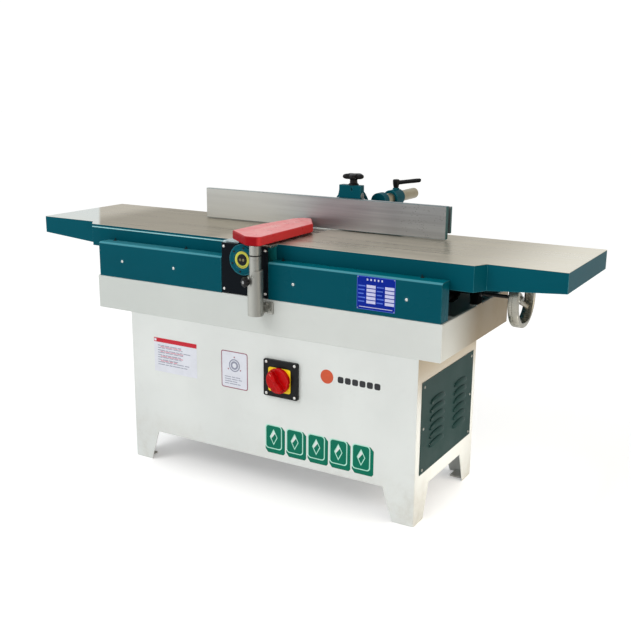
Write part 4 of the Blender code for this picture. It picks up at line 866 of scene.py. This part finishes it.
def make_switch():
    x, z = SWITCH.x, SWITCH.z
    outline = rounded(rectangle(*SWITCH_PLATE), 0.006)
    place(prism("Y", outline, dy(-0.012), dy(-0.0003), 0.0018), "switch_base", PLASTIC, "stand",
        ["switch_plate"])
    spots = [(sx, dy(-0.0119), sz) for sx in (0.0748, 0.1845) for sz in (0.356, 0.465)]
    screws("switch_screws", "Y", spots, 0.0052, -1, SCREW, "stand")
    square = rounded(rectangle(*SWITCH_INNER), 0.007)
    place(prism("Y", square, dy(-0.015), dy(-0.0121), 0.0008, [circle(x, z, 0.0072, SMALL)]), "switch_yellow",
        YELLOW, "stand", ["switch_escutcheon"])
    centre = (x, dy(-0.0152), z)

    def notched(turn):
        """Three thumb notches in the rim."""
        dip = max(0.0, math.cos(3 * turn + 0.6)) ** 40
        return 1.0 - 0.07 * dip
    dish = lathe("Y", centre, [(0.0, 0.0), (0.0, 0.0425), (-0.002, 0.0435), (-0.011, 0.0435),
        (-0.0128, 0.0428), (-0.0138, 0.0412), (-0.0138, 0.0385), (-0.012, 0.0368), (-0.0106, 0.0)], FINE,
        lobes=notched)
    waist = arc((0.0, 0.036), 0.03, -60, -120, 10)
    grip = [(-0.031, 0.01)] + waist[::-1] + [(0.031, 0.01), (0.0335, 0.0)]
    grip += [(u, -v) for u, v in [(0.031, 0.01)] + waist + [(-0.031, 0.01)]] + [(-0.0335, 0.0)]
    grip = [(u * 1.1, v * 0.95) for u, v in grip]
    handle = prism("Y", grip, -0.03, -0.006, 0.003)
    dot = prism("Y", rounded(rectangle(0.024, 0.0335, -0.0018, 0.0018), 0.0012), -0.0306, -0.0296, 0.0003)
    lean = Matrix.Translation(Vector(centre)) @ Matrix.Rotation(math.radians(-125), 4, "Y")
    handle.transform(lean)
    dot.transform(lean)
    spindle = rod("Y", centre, 0.0, 0.012, 0.0062, SMALL)
    place(merge(dish, handle, spindle), "switch_handle", RED, "switch_knob", ["switch_knob"])
    place(dot, "switch_pointer", ROSE, "switch_knob")


def make_louvres():
    """Pressed hoods over the panel's slots, open underneath."""
    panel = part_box("louvre_panel")[1].x
    hoods = []
    for near, far in ((0.1, 0.206), (0.295, 0.393)):
        for row in range(6):
            base = 0.2385 + 0.029 * row
            bm = bmesh.new()
            across, around = 24, 8
            grid = []
            for i in range(across + 1):
                turn = math.pi * i / across
                swell = max(math.sin(turn), 0.0) ** 0.55
                y = dy((near + far) / 2) - math.cos(turn) * ((far - near) / 2 + 0.003)
                line = []
                for k in range(around + 1):
                    rise = math.pi / 2 * k / around
                    z = base + 0.0185 * swell * math.cos(rise)
                    x = panel + 0.0002 + 0.0075 * swell * math.sin(rise)
                    line.append(bm.verts.new((x, y, z)))
                grid.append(line)
            for a, b in zip(grid, grid[1:]):
                for k in range(around):
                    bm.faces.new((a[k], b[k], b[k + 1], a[k + 1]))
            bmesh.ops.solidify(bm, geom=bm.faces, thickness=0.001)
            hoods.append(closed(bm))
    place(merge(*hoods), "louvre_hoods", LOUVRE, "stand", angle=50)
    spots = [(panel, dy(d), z) for d in (0.046, 0.44) for z in (0.455, 0.317, 0.179)]
    screws("louvre_screws", "X", spots, 0.0048, 1, STEEL, "stand")


def make_labels():
    """Plain stickers, a rating plate and coloured blocks, none with lettering."""
    y = FRONT

    def ink(name, colour, roughness=0.42, light=None, gloss=0.35, vary=0.04):
        return plastic(name, colour, roughness, 0.03, light, gloss, vary)

    def plate_at(name, x0, x1, z0, z1, mat, radius=0.002, lift=0.0, thick=FILM):
        outline = rounded(rectangle(x0, x1, z0, z1), radius)
        place(prism("Y", outline, y - lift - thick, y - lift - 0.0001), name, mat, "stand")

    def bars(name, x0, x1, z_top, rows, pitch, height, mat, seed):
        """Rows of short dashes that stand where small print would be."""
        pick = random.Random(seed)
        made = []
        for row in range(rows):
            z = z_top - pitch * row
            x = x0
            end = x0 + (x1 - x0) * pick.uniform(0.55, 1.0)
            while x < end - 0.008:
                width = min(pick.uniform(0.01, 0.034), end - x)
                made.append(block((x, y - DASH_LIFT - 0.0002, z - height), (x + width, y - DASH_LIFT, z),
                    0.0))
                x += width + DASH_GAP * pick.uniform(0.4, 0.8)
        place(merge(*made), name, mat, "stand")

    film = ink("label_film", rgb(220, 223, 232), 0.4, None, 0.1, 0.03)
    grey_ink = ink("grey_ink", rgb(146, 150, 168), 0.5)
    rose_ink = ink("rose_ink", rgb(214, 120, 140), 0.5)
    red_ink = ink("red_ink", rgb(196, 22, 44), 0.4)
    plum_ink = ink("plum_ink", rgb(150, 84, 104), 0.45)
    plate_at("sticker_large", -0.4135, -0.2235, 0.35, 0.475, film)
    plate_at("sticker_large_bar", -0.4135, -0.2235, 0.4595, 0.475, red_ink, 0.001, 0.0005)
    plate_at("sticker_large_mark", -0.4115, -0.402, 0.4625, 0.472, film, 0.003, 0.001)
    bars("sticker_large_lines", -0.397, -0.232, 0.449, 9, 0.0088, 0.0026, grey_ink, 4)
    bars("sticker_large_tint", -0.385, -0.262, 0.4446, 4, 0.0176, 0.0024, rose_ink, 9)
    plate_at("sticker_small", -0.1175, -0.0085, 0.342, 0.474, film, 0.008)
    frame_in = rounded(rectangle(-0.1145, -0.0115, 0.345, 0.471), 0.006)
    border = rounded(rectangle(-0.1175, -0.0085, 0.342, 0.474), 0.008)
    place(prism("Y", border, y - 0.0007, y - 0.0005, 0.0, [frame_in]), "sticker_small_border", plum_ink,
        "stand")
    centre = (-0.063, y - 0.0005, 0.4245)
    rings = [band("Y", centre, [(0.0, r0), (0.0, r1), (-0.0003, r1), (-0.0003, r0)], ROUND)
        for r0, r1 in ((0.0185, 0.0225), (0.0085, 0.015))]
    place(merge(*rings), "sticker_small_rings", grey_ink, "stand")
    arrows = []
    for turn in (90, 210, 330):
        spot = (centre[0] + 0.029 * math.cos(math.radians(turn)),
            centre[2] + 0.029 * math.sin(math.radians(turn)))
        arrows.append(prism("Y", circle(spot[0], spot[1], 0.0026, 16), y - 0.0008, y - 0.0005))
    place(merge(*arrows), "sticker_small_dots", plum_ink, "stand")
    bars("sticker_small_lines", -0.104, -0.02, 0.383, 4, 0.008, 0.0024, grey_ink, 12)
    # rating plate on the right cover
    blue = plastic("plate_blue", rgb(0, 34, 146), 0.34, 0.04, rgb(120, 150, 220), 0.1, 0.05)
    cell = ink("plate_cells", rgb(196, 198, 232), 0.36)
    plate_at("rating_plate", *RATING_PLATE, blue, 0.002, 0.0, 0.0012)
    cells = [block((0.437 + 0.0125 * n, y - 0.0014, 0.779), (0.442 + 0.0125 * n, y - 0.0012, 0.785), 0.0)
        for n in range(5)]
    for row in range(5):
        z = 0.7655 - 0.0122 * row
        for x0, x1 in ((0.437, 0.468), (0.5, 0.531)):
            cells.append(block((x0, y - 0.0014, z - 0.0092), (x1, y - 0.0012, z), 0.0))
    cells.append(block((0.412, y - 0.0014, 0.6945), (0.526, y - 0.0012, 0.6965), 0.0))
    place(merge(*cells), "rating_plate_cells", cell, "stand")
    print_blue = ink("plate_print", rgb(70, 104, 206), 0.36, vary=0.13)
    edge = prism("Y", rounded(rectangle(0.4036, 0.5344, 0.6871, 0.7919), 0.002), y - 0.0014, y - 0.0012, 0.0,
        [rounded(rectangle(0.405, 0.533, 0.6885, 0.7905), 0.0016)])
    prints = [edge]
    for row in range(5):
        z = 0.7645 - 0.0122 * row
        for x0, x1 in ((0.4085, 0.433), (0.472, 0.496)):
            prints.append(block((x0, y - 0.0014, z - 0.0052),
                (x1 - 0.003 * (row % 3), y - 0.0012, z - 0.0014), 0.0))
    place(merge(*prints), "rating_plate_print", print_blue, "stand")
    rivets = [(x, y - 0.0012, z) for x in (0.407, 0.531) for z in (0.6905, 0.7885)]
    screws("rating_plate_rivets", "Y", rivets, 0.002, -1, SHEET, "stand")
    # five plain outlined blocks with a shadow edge
    green = ink("block_green", rgb(0, 112, 88), gloss=0.15)
    mint = ink("block_mint", rgb(176, 232, 214))
    pitch = 0.0835
    faces, lines, shadows = [], [], []
    for index in range(5):
        x0 = 0.0625 + pitch * index
        drop = [(x0, 0.16), (x0, 0.152), (x0 + 0.01, 0.139), (x0 + 0.072, 0.139), (x0 + 0.078, 0.146),
            (x0 + 0.078, 0.226), (x0 + 0.066, 0.238), (x0 + 0.06, 0.238)]
        shadows.append(prism("Y", drop, y - 0.0003, y - 0.0001))
        outer = rounded(rectangle(x0, x0 + 0.066, 0.154, 0.24), 0.012)
        inner = rounded(rectangle(x0 + 0.0035, x0 + 0.0625, 0.1575, 0.2365), 0.01)
        slot = [(x0 + 0.033, 0.174), (x0 + 0.045, 0.197), (x0 + 0.033, 0.22), (x0 + 0.021, 0.197)]
        slot_line = [(x0 + 0.033, 0.168), (x0 + 0.0485, 0.197), (x0 + 0.033, 0.226), (x0 + 0.0175, 0.197)]
        lines.append(prism("Y", outer, y - 0.0005, y - 0.0003, 0.0, [slot]))
        faces.append(prism("Y", inner, y - 0.0007, y - 0.0005, 0.0, [slot_line]))
    place(merge(*shadows), "block_shadows", green, "stand")
    place(merge(*lines), "block_outlines", mint, "stand")
    place(merge(*faces), "block_faces", green, "stand")
    # a plain disc and six rounded blocks
    orange = ink("disc_orange", rgb(204, 84, 50))
    disc = circle(0.3, 0.447, 0.0235)
    place(prism("Y", disc, y - 0.0004, y - 0.0001), "plain_disc", orange, "stand")
    pills = [prism("Y", rounded(rectangle(0.34 + 0.0262 * n, 0.361 + 0.0262 * n, 0.4335, 0.4545), 0.006),
        y - 0.0004, y - 0.0001) for n in range(6)]
    place(merge(*pills), "plain_pills", ink("bar_ink", rgb(44, 46, 50), 0.45, vary=0.13), "stand")


def make_guard():
    x, y = POST.x, POST.y
    corners = [(-0.0735, dy(0.014)), (0.034, dy(-0.069)), (0.0838, dy(-0.062)), (0.0785, dy(0.282)),
        (0.0105, dy(0.387)), (-0.0245, dy(0.39)), (-0.048, dy(0.352)), (-0.071, dy(0.174))]
    outline = rounded(corners, [0.006, 0.026, 0.02, 0.024, 0.012, 0.015, 0.03, 0.06], 10)
    place(prism("Z", outline, 0.858, 0.888, 0.005, steps=6), "guard_body", GUARD, "guard_cover",
        ["guard_cover"])
    r = POST_R
    post = lathe("Z", (x, y, 0), [(0.64, 0.0), (0.64, r - 0.001), (0.641, r), (0.8105, r),
        (0.8112, r - 0.0008), (0.8126, r - 0.0008), (0.8133, r), (0.8225, r), (0.8232, r - 0.0016),
        (0.8268, r - 0.0016), (0.8275, r), (0.8565, r), (0.8577, r - 0.001), (0.8577, 0.0)], FINE)
    place(post, "guard_post_turned", STEEL, "guard_post", ["guard_post"])
    clip = band("Z", (x, y, 0), [(0.8238, r - 0.0014), (0.8238, r + 0.0002), (0.8262, r + 0.0002),
        (0.8262, r - 0.0014)], FINE)
    place(clip, "guard_post_ring", DARK, "guard_post")
    s = GUARD_SLEEVE_R
    sleeve = band("Z", (x, y, 0), [(0.627, r + 0.0003), (0.627, s - 0.0012), (0.6282, s), (0.7758, s),
        (0.777, s - 0.0012), (0.777, r + 0.0003)], FINE)
    sleeve = boolean(sleeve, block((0.02, dy(-0.08), 0.757), (0.0685, dy(-0.041), 0.79), 0.0))
    place(sleeve, "guard_sleeve_turned", STEEL, "stand", ["guard_sleeve"])

    def grip(turn):
        """Seven shallow finger grooves."""
        return 1.0 - 0.12 * (0.5 - 0.5 * math.cos(7 * turn)) ** 1.5

    # turned along -X from the post's axis, then swung to the knob's direction
    aim = Matrix.Translation((x, y, 0.743)) @ Matrix.Rotation(KNOB_TURN, 4, "Z")
    knob = lathe("X", (0, 0, 0), [(-0.0505, 0.0), (-0.0507, 0.0055), (-0.05, 0.01), (-0.0483, 0.0147),
        (-0.0455, 0.0165), (-0.0375, 0.0165), (-0.0353, 0.0151), (-0.0343, 0.0112), (-0.0325, 0.01),
        (-0.029, 0.0092), (-0.029, 0.0)], FINE, lobes=grip)
    stud = rod("X", (0, 0, 0), -0.0365, -0.0198, 0.003, SMALL)
    disc = lathe("X", (0, 0, 0), [(-0.0505, 0.0), (-0.0505, 0.0056), (-0.0511, 0.005), (-0.0511, 0.0)], SMALL)
    for mesh in (knob, stud, disc):
        mesh.transform(aim)
    place(knob, "guard_knob_moulded", PLASTIC, "guard_knob", ["guard_knob"])
    place(stud, "guard_knob_stud", STEEL, "guard_knob")
    place(disc, "guard_knob_cap", SHEET, "guard_knob")
    place(hex_head("Y", (0.0835, dy(-0.0064), 0.64), 0.015, 0.0085, -1), "bracket_bolt", STEEL, "stand")
    screws("bracket_screw", "Y", [(0.076, dy(-0.0064), 0.659)], 0.0042, -1, STEEL, "stand")


def make_fence_fittings():
    sx, sy = STAR.x, STAR.y

    def lobed(turn):
        """Five rounded lobes."""
        return 1.04 + 0.27 * math.cos(5 * turn) - 0.03 * math.cos(10 * turn)
    head = lathe("Z", (sx, sy, 0), [(1.033, 0.0), (1.033, 0.0165), (1.0336, 0.023), (1.0358, 0.0278),
        (1.0392, 0.0304), (1.0436, 0.0307), (1.0476, 0.0294), (1.0503, 0.026), (1.0516, 0.0205),
        (1.0518, 0.014), (1.0518, 0.0)], 120, lobes=lobed)
    neck = lathe("Z", (sx, sy, 0), [(1.0123, 0.0), (1.0123, 0.0185), (1.0138, 0.019), (1.0158, 0.018),
        (1.019, 0.0138), (1.029, 0.013), (1.0345, 0.0165), (1.0345, 0.0)], ROUND)
    stud = rod("Z", (sx, sy, 0), 1.006, 1.014, 0.0042, SMALL)
    place(merge(head, neck, stud), "star_knob_moulded", PLASTIC, "fence_star_knob", ["fence_star_knob"])
    cap = lathe("Z", (sx, sy, 0), [(1.0516, 0.0), (1.0516, 0.0125), (1.0519, 0.0125), (1.052, 0.011),
        (1.052, 0.0)], ROUND)
    place(cap, "star_knob_cap", PLASTIC, "fence_star_knob")
    # sliding bar
    bar = lathe("Y", (BAR.x, 0, BAR.z), [(dy(0.5103), 0.0), (dy(0.5103), BAR_R), (dy(0.808), BAR_R),
        (dy(0.81), BAR_R - 0.002), (dy(0.81), 0.0)], FINE)
    place(bar, "fence_bar_turned", BAR_STEEL, "fence_carriage", ["fence_bar"])
    ring = band("Y", (BAR.x, 0, BAR.z), [(dy(0.602), 0.0203), (dy(0.602), 0.0285), (dy(0.6035), 0.03),
        (dy(0.6665), 0.03), (dy(0.668), 0.0285), (dy(0.668), 0.0203)], FINE)
    boss = lathe("Z", (BAR.x, dy(0.65), 0), [(0.975, 0.0), (0.975, 0.0135), (0.98, 0.0125), (0.9855, 0.012),
        (0.986, 0.0112), (0.986, 0.0)], ROUND)
    sleeve = boolean(ring, boss, "UNION")
    sleeve = boolean(sleeve, rod("Z", (BAR.x, dy(0.65), 0), 0.9727, 0.99, 0.0053, SMALL))
    place(sleeve, "fence_sleeve_cast", TEAL, "stand", ["fence_sleeve"])
    # ratchet lever
    hx, hy = BAR.x, dy(0.65)
    hub = lathe("Z", (hx, hy, 0), [(0.9863, 0.0), (0.9863, 0.0086), (0.992, 0.0102), (1.002, 0.0122),
        (1.011, 0.0126), (1.015, 0.0122), (1.0172, 0.0104), (1.018, 0.0066), (1.018, 0.0)], ROUND)
    reach = [(0.0, 1.005, 0.0086), (0.015, 1.007, 0.0084), (0.045, 1.011, 0.008), (0.072, 1.0145, 0.0084),
        (0.086, 1.016, 0.0078), (0.0905, 1.0165, 0.0052), (0.092, 1.0167, 0.0)]
    rows = []
    for along, z, radius in reach:
        turns = [math.tau * index / 24 for index in range(24)]
        rows.append([(along, radius * math.cos(turn), z + radius * 0.94 * math.sin(turn)) for turn in turns])
    arm = loft(rows, last=False)
    arm.transform(Matrix.Translation((hx, hy, 0)) @ Matrix.Rotation(math.radians(20), 4, "Z"))
    stem = rod("Z", (hx, hy, 0), 0.9735, 0.987, 0.005, SMALL)
    place(merge(hub, arm, stem), "lock_lever_moulded", PLASTIC, "fence_lock_lever", ["fence_lock_lever"])
    button = lathe("Z", (hx, hy, 0), [(1.0175, 0.0), (1.0175, 0.0048), (1.0185, 0.0044), (1.0187, 0.0)],
        SMALL)
    place(button, "lock_lever_button", SHEET, "fence_lock_lever")
    # end of the clamp block's cross pin, and the flared foot of the block
    pin = lathe("X", (0, dy(0.44), 0.975), [(0.185, 0.0), (0.185, 0.0105), (0.1868, 0.0115), (0.1876, 0.0105),
        (0.1876, 0.008), (0.1864, 0.0078), (0.1864, 0.0)], ROUND)
    place(pin, "clamp_pin_end", SHEET, "fence")
    foot = [(0.088, 0.9662), (0.0998, 0.9662), (0.0998, 0.995), (0.096, 0.976)]
    flare = prism("Y", foot, dy(0.4262), dy(0.4548), 0.0008)
    place(flare, "clamp_block_foot", TEAL, "fence")
    # stiffening ribs cast on the back of the fence, clear of the clamp block
    low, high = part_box("fence_plate")
    back = high.y + 0.0002
    # the lower edge stays above the tables when the fence leans back on its hinge
    rib_foot = max(low.z + 0.0006, FENCE_HINGE.z + (back + 0.012 - FENCE_HINGE.y) - 0.0165)
    ribs = []
    for x0, x1, marks in ((low.x + 0.04, 0.078, 4), (0.254, high.x - 0.0006, 2)):
        ribs.append(block((x0, back, high.z - 0.02), (x1, back + 0.0116, high.z - 0.0052), 0.0015))
        ribs.append(block((x0, back, rib_foot), (x1, back + 0.0116, rib_foot + 0.0114), 0.0015))
        for step in range(marks + 1):
            x = x0 + (x1 - x0 - 0.012) * step / marks
            ribs.append(block((x, back, rib_foot + 0.0094), (x + 0.012, back + 0.0112, high.z - 0.018),
                0.0012))
    place(merge(*ribs), "fence_back_ribs", FENCE, "fence")


def make_handwheel():
    x, y, z = WHEEL
    r = WHEEL_R
    w = WHEEL_WIDTH
    rim = band("X", (x, y, z), [(0.0, r - 0.014), (-0.0002, r - 0.006), (0.0018, r - 0.0015), (0.0045, r),
        (w * 0.42, r), (w * 0.44, r - 0.0016), (w * 0.52, r - 0.0016), (w * 0.54, r), (w - 0.0045, r),
        (w - 0.0018, r - 0.0015), (w, r - 0.006), (w, r - 0.013), (w - 0.0025, r - 0.0155),
        (w * 0.7, r - 0.017), (w * 0.22, r - 0.017), (0.0025, r - 0.016)], 144)
    hub = band("X", (x - 0.02, y, z), [(0.0, 0.0063), (0.0, 0.018), (0.0015, 0.019), (0.018, 0.0182),
        (0.032, 0.0165), (0.034, 0.015), (0.034, 0.0063)], ROUND)
    spokes = []
    for index in range(3):
        rows = []
        for along, wide, thick, shift in ((0.013, 0.0125, 0.0052, -0.001), (0.035, 0.01, 0.0042, 0.003),
                (0.058, 0.0088, 0.004, 0.01), (0.077, 0.011, 0.005, 0.016)):
            turns = [math.tau * step / 20 for step in range(20)]
            rows.append([(shift + thick * math.cos(turn), wide * math.sin(turn), along) for turn in turns])
        spoke = loft(rows)
        spoke.transform(Matrix.Translation((x, y, z)) @ Matrix.Rotation(math.radians(120 * index), 4, "X"))
        spokes.append(spoke)
    place(merge(rim, hub, *spokes), "handwheel_turned", CHROME, "infeed_screw", ["handwheel"])
    top = z + r - 0.01
    grip = lathe("X", (x + 0.002, y, top), [(0.0335, 0.0), (0.0335, 0.0066), (0.036, 0.0076), (0.048, 0.008),
        (0.068, 0.0094), (0.088, 0.0096), (0.096, 0.0086), (0.0995, 0.006), (0.1005, 0.0)], ROUND)
    pin = rod("X", (x + 0.002, y, top), 0.0, 0.034, 0.003, SMALL)
    place(merge(grip, pin), "handwheel_grip", PLASTIC, "handwheel_handle", ["handwheel_handle"])
    nut = hex_head("X", (x + 0.0142, y, z), 0.013, 0.0075, 1)
    place(nut, "handwheel_nut", STEEL, "infeed_screw")


def make_cutter():
    """Gibs and jack screws in the cutter block, and polish on the block itself."""
    cx, cz = CUTTER.x, CUTTER.z
    radius = CUTTER_R
    outline = []
    for index in range(3):
        centre = 90 - (60 + 120 * index)
        half = math.degrees(math.asin(0.006 / radius))
        before = centre + 120
        outline += arc((cx, cz), radius, before - half, centre + half, 30)
        t = math.radians(centre)
        out = Vector((math.cos(t), math.sin(t)))
        side = Vector((-math.sin(t), math.cos(t)))
        depth = radius - 0.018
        for s in (0.006, -0.006):
            spot = Vector((cx, cz)) + out * depth + side * s
            outline.append((spot.x, spot.y))
    block_mesh = prism("Y", outline, dy(0.07), dy(0.48), 0.0)
    journals = []
    for start, end in ((-0.006, 0.072), (0.478, 0.579)):
        journals.append(lathe("Y", (cx, 0, cz), [(dy(start), 0.0), (dy(start), 0.0118),
            (dy(start) + 0.0007, 0.0125), (dy(end) - 0.0007, 0.0125), (dy(end), 0.0118), (dy(end), 0.0)],
            ROUND))
    place(merge(block_mesh, *journals), "cutter_block_turned", brushed("cutter_steel", rgb(150, 150, 150),
        0.28, "Y", 0.95, 0.12, 0.12), "cutter", ["cutter_block"])
    gibs, heads = [], []
    for index in range(3):
        turn = Matrix.Translation((cx, 0, cz)) @ Matrix.Rotation(math.radians(60 + 120 * index), 4, "Y")
        shape = [(-0.0024, radius - 0.0174), (0.0056, radius - 0.0174), (0.0056, radius - 0.0024),
            (0.004, radius - 0.0012), (0.001, radius - 0.003), (-0.0024, radius - 0.006)]
        gib = prism("Y", shape, dy(0.0715), dy(0.4785), 0.0003)
        gib.transform(turn)
        gibs.append(gib)
        for step in range(7):
            screw = hex_head("Z", (0.0018, dy(0.105 + 0.0567 * step), radius - 0.0045), 0.0062, 0.0038, 1)
            screw.transform(turn)
            heads.append(screw)
    place(merge(*gibs), "knife_gibs", SHEET, "cutter")
    place(merge(*heads), "gib_screws", CAST, "cutter")


def make_table_fittings():
    for side, body, lip in ((1, "infeed_table", "infeed_lip"), (-1, "outfeed_table", "outfeed_lip")):
        low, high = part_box(lip)
        x = (low.x + high.x) / 2 + side * 0.012
        heads = []
        for step in range(7):
            centre = (x, dy(0.075 + 0.0716 * step), TABLE_TOP - 0.0002)
            heads.append(lathe("Z", centre, [(0.0, 0.0), (0.0, 0.0052), (0.00025, 0.005), (0.00025, 0.003),
                (0.0001, -0.0028), (0.0001, 0.0)], SMALL, 6))
        place(merge(*heads), lip + "_screws", CAST, body)
    # front rib in pale teal: painted highlight along the outfeed table's front edge
    rib = prism("X", rounded([(dy(0.0528), 0.8375), (dy(0.0551), 0.8375), (dy(0.0551), 0.8415),
        (dy(0.0528), 0.8408)], 0.0004, 3), -0.7365, -0.114, 0.0)
    place(rib, "outfeed_front_rib", RIB_HIGHLIGHT, "outfeed_table")


def make_rear_fittings():
    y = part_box("rear_cover_left")[1].y + 0.0001
    spots = [(x, y, COVER_SCREW_Z) for x in (-0.5785, -0.3485, -0.1385, 0.0985, 0.3615, 0.6015)]
    screws("rear_cover_screws", "Y", spots, 0.0052, 1, STEEL, "stand")
    low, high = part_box("pulley_cover")
    spots = [(x, high.y, z) for x in (low.x + 0.012, high.x - 0.012) for z in (low.z + 0.014, high.z - 0.014)]
    screws("pulley_cover_screws", "Y", spots, 0.0048, 1, STEEL, "stand")
    low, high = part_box("belt_guard")
    spots = [(x, high.y, z) for x in (low.x + 0.014, high.x - 0.014) for z in (low.z + 0.1, high.z - 0.014)]
    screws("belt_guard_screws", "Y", spots, 0.0048, 1, STEEL, "stand")
    bolts = [hex_head("Y", (x, dy(0.603), z), 0.013, 0.0085, 1) for x in (0.182, 0.251) for z in (0.59, 0.65)]
    place(merge(*bolts), "fence_support_bolts", STEEL, "stand")
    spots = []
    for sy in (-1, 1):
        for sz in (-1, 1):
            spots.append((-0.5218, dy(0.29) + sy * 0.068, 0.3 + sz * 0.068))
    screws("dust_port_screws", "X", spots, 0.0048, -1, STEEL, "stand")


def make_floor():
    mesh = bpy.data.meshes.new("floor")
    bm = bmesh.new()
    bmesh.ops.create_grid(bm, x_segments=1, y_segments=1, size=30.0)
    bm.to_mesh(mesh)
    bm.free()
    made = Finish("floor_pale", 0.9)
    made.colour(made.mix(made.noise(0.6, 2.0), (0.93, 0.93, 0.93, 1.0), (0.96, 0.96, 0.96, 1.0)))
    rays = made.tree.nodes.new("ShaderNodeLightPath")
    made.bsdf.inputs["Emission Color"].default_value = (1.0, 1.0, 1.0, 1.0)
    made.feed(made.bsdf.inputs["Emission Strength"], made.times(rays.outputs["Is Camera Ray"], 0.3))
    mesh.materials.append(made.mat)
    obj = bpy.data.objects.new("floor", mesh)
    obj.location.z = -0.0003
    bpy.context.scene.collection.objects.link(obj)


def make_light(name, location, target, size, power, colour):
    data = bpy.data.lights.new(name, "AREA")
    data.shape = "RECTANGLE"
    data.size, data.size_y = size
    data.energy = power
    data.color = colour
    obj = bpy.data.objects.new(name, data)
    obj.visible_camera = False
    obj.location = location
    direction = Vector(target) - Vector(location)
    obj.rotation_euler = direction.to_track_quat("-Z", "Y").to_euler()
    bpy.context.scene.collection.objects.link(obj)


def make_world():
    world = bpy.data.worlds.new("studio")
    bpy.context.scene.world = world
    world.use_nodes = True
    tree = world.node_tree
    back = tree.nodes["Background"]
    coords = tree.nodes.new("ShaderNodeTexCoord")
    split = tree.nodes.new("ShaderNodeSeparateXYZ")
    tree.links.new(coords.outputs["Generated"], split.inputs[0])
    ramp = tree.nodes.new("ShaderNodeMapRange")
    ramp.interpolation_type = "SMOOTHSTEP"
    tree.links.new(split.outputs["X"], ramp.inputs[0])
    ramp.inputs[1].default_value = 0.15
    ramp.inputs[2].default_value = 0.9
    mix = tree.nodes.new("ShaderNodeMix")
    mix.data_type = "RGBA"
    tree.links.new(ramp.outputs[0], mix.inputs[0])
    mix.inputs[6].default_value = (0.97, 0.99, 1.0, 1.0)
    mix.inputs[7].default_value = (0.52, 0.44, 0.34, 1.0)
    tree.links.new(mix.outputs[2], back.inputs["Color"])
    back.inputs["Strength"].default_value = 0.85
    seen = tree.nodes.new("ShaderNodeBackground")
    seen.inputs["Color"].default_value = (1.0, 1.0, 1.0, 1.0)
    seen.inputs["Strength"].default_value = 1.05
    rays = tree.nodes.new("ShaderNodeLightPath")
    choose = tree.nodes.new("ShaderNodeMixShader")
    tree.links.new(rays.outputs["Is Camera Ray"], choose.inputs[0])
    tree.links.new(back.outputs[0], choose.inputs[1])
    tree.links.new(seen.outputs[0], choose.inputs[2])
    tree.links.new(choose.outputs[0], tree.nodes["World Output"].inputs["Surface"])


def make_camera():
    azimuth, elevation, roll = [math.radians(turn) for turn in CAMERA_TURN]
    ahead = Vector((-math.sin(azimuth) * math.cos(elevation), math.cos(azimuth) * math.cos(elevation),
        -math.sin(elevation)))
    right = ahead.cross(Vector((0, 0, 1))).normalized()
    up = right.cross(ahead)
    right2 = math.cos(roll) * right + math.sin(roll) * up
    up2 = math.cos(roll) * up - math.sin(roll) * right
    data = bpy.data.cameras.new("camera")
    data.lens = LENS
    data.sensor_width = 36.0
    data.clip_end = 100.0
    obj = bpy.data.objects.new("camera", data)
    matrix = Matrix((right2, up2, -ahead)).transposed().to_4x4()
    matrix.translation = Vector(CAMERA_AT)
    obj.matrix_world = matrix
    bpy.context.scene.collection.objects.link(obj)
    bpy.context.scene.camera = obj


for finish_of, names in NODE_FINISH.items():
    for node_name in names:
        dress(node_name, finish_of)
dress("louvre_panel", LOUVRE)

make_front_fittings()
make_covers()
make_bearing_cap()
make_switch()
make_louvres()
make_labels()
make_guard()
make_fence_fittings()
make_handwheel()
make_cutter()
make_table_fittings()
make_rear_fittings()
make_floor()
for light in LIGHTS:
    make_light(*light)
make_world()
make_camera()
bpy.context.scene.view_settings.view_transform = "Standard"
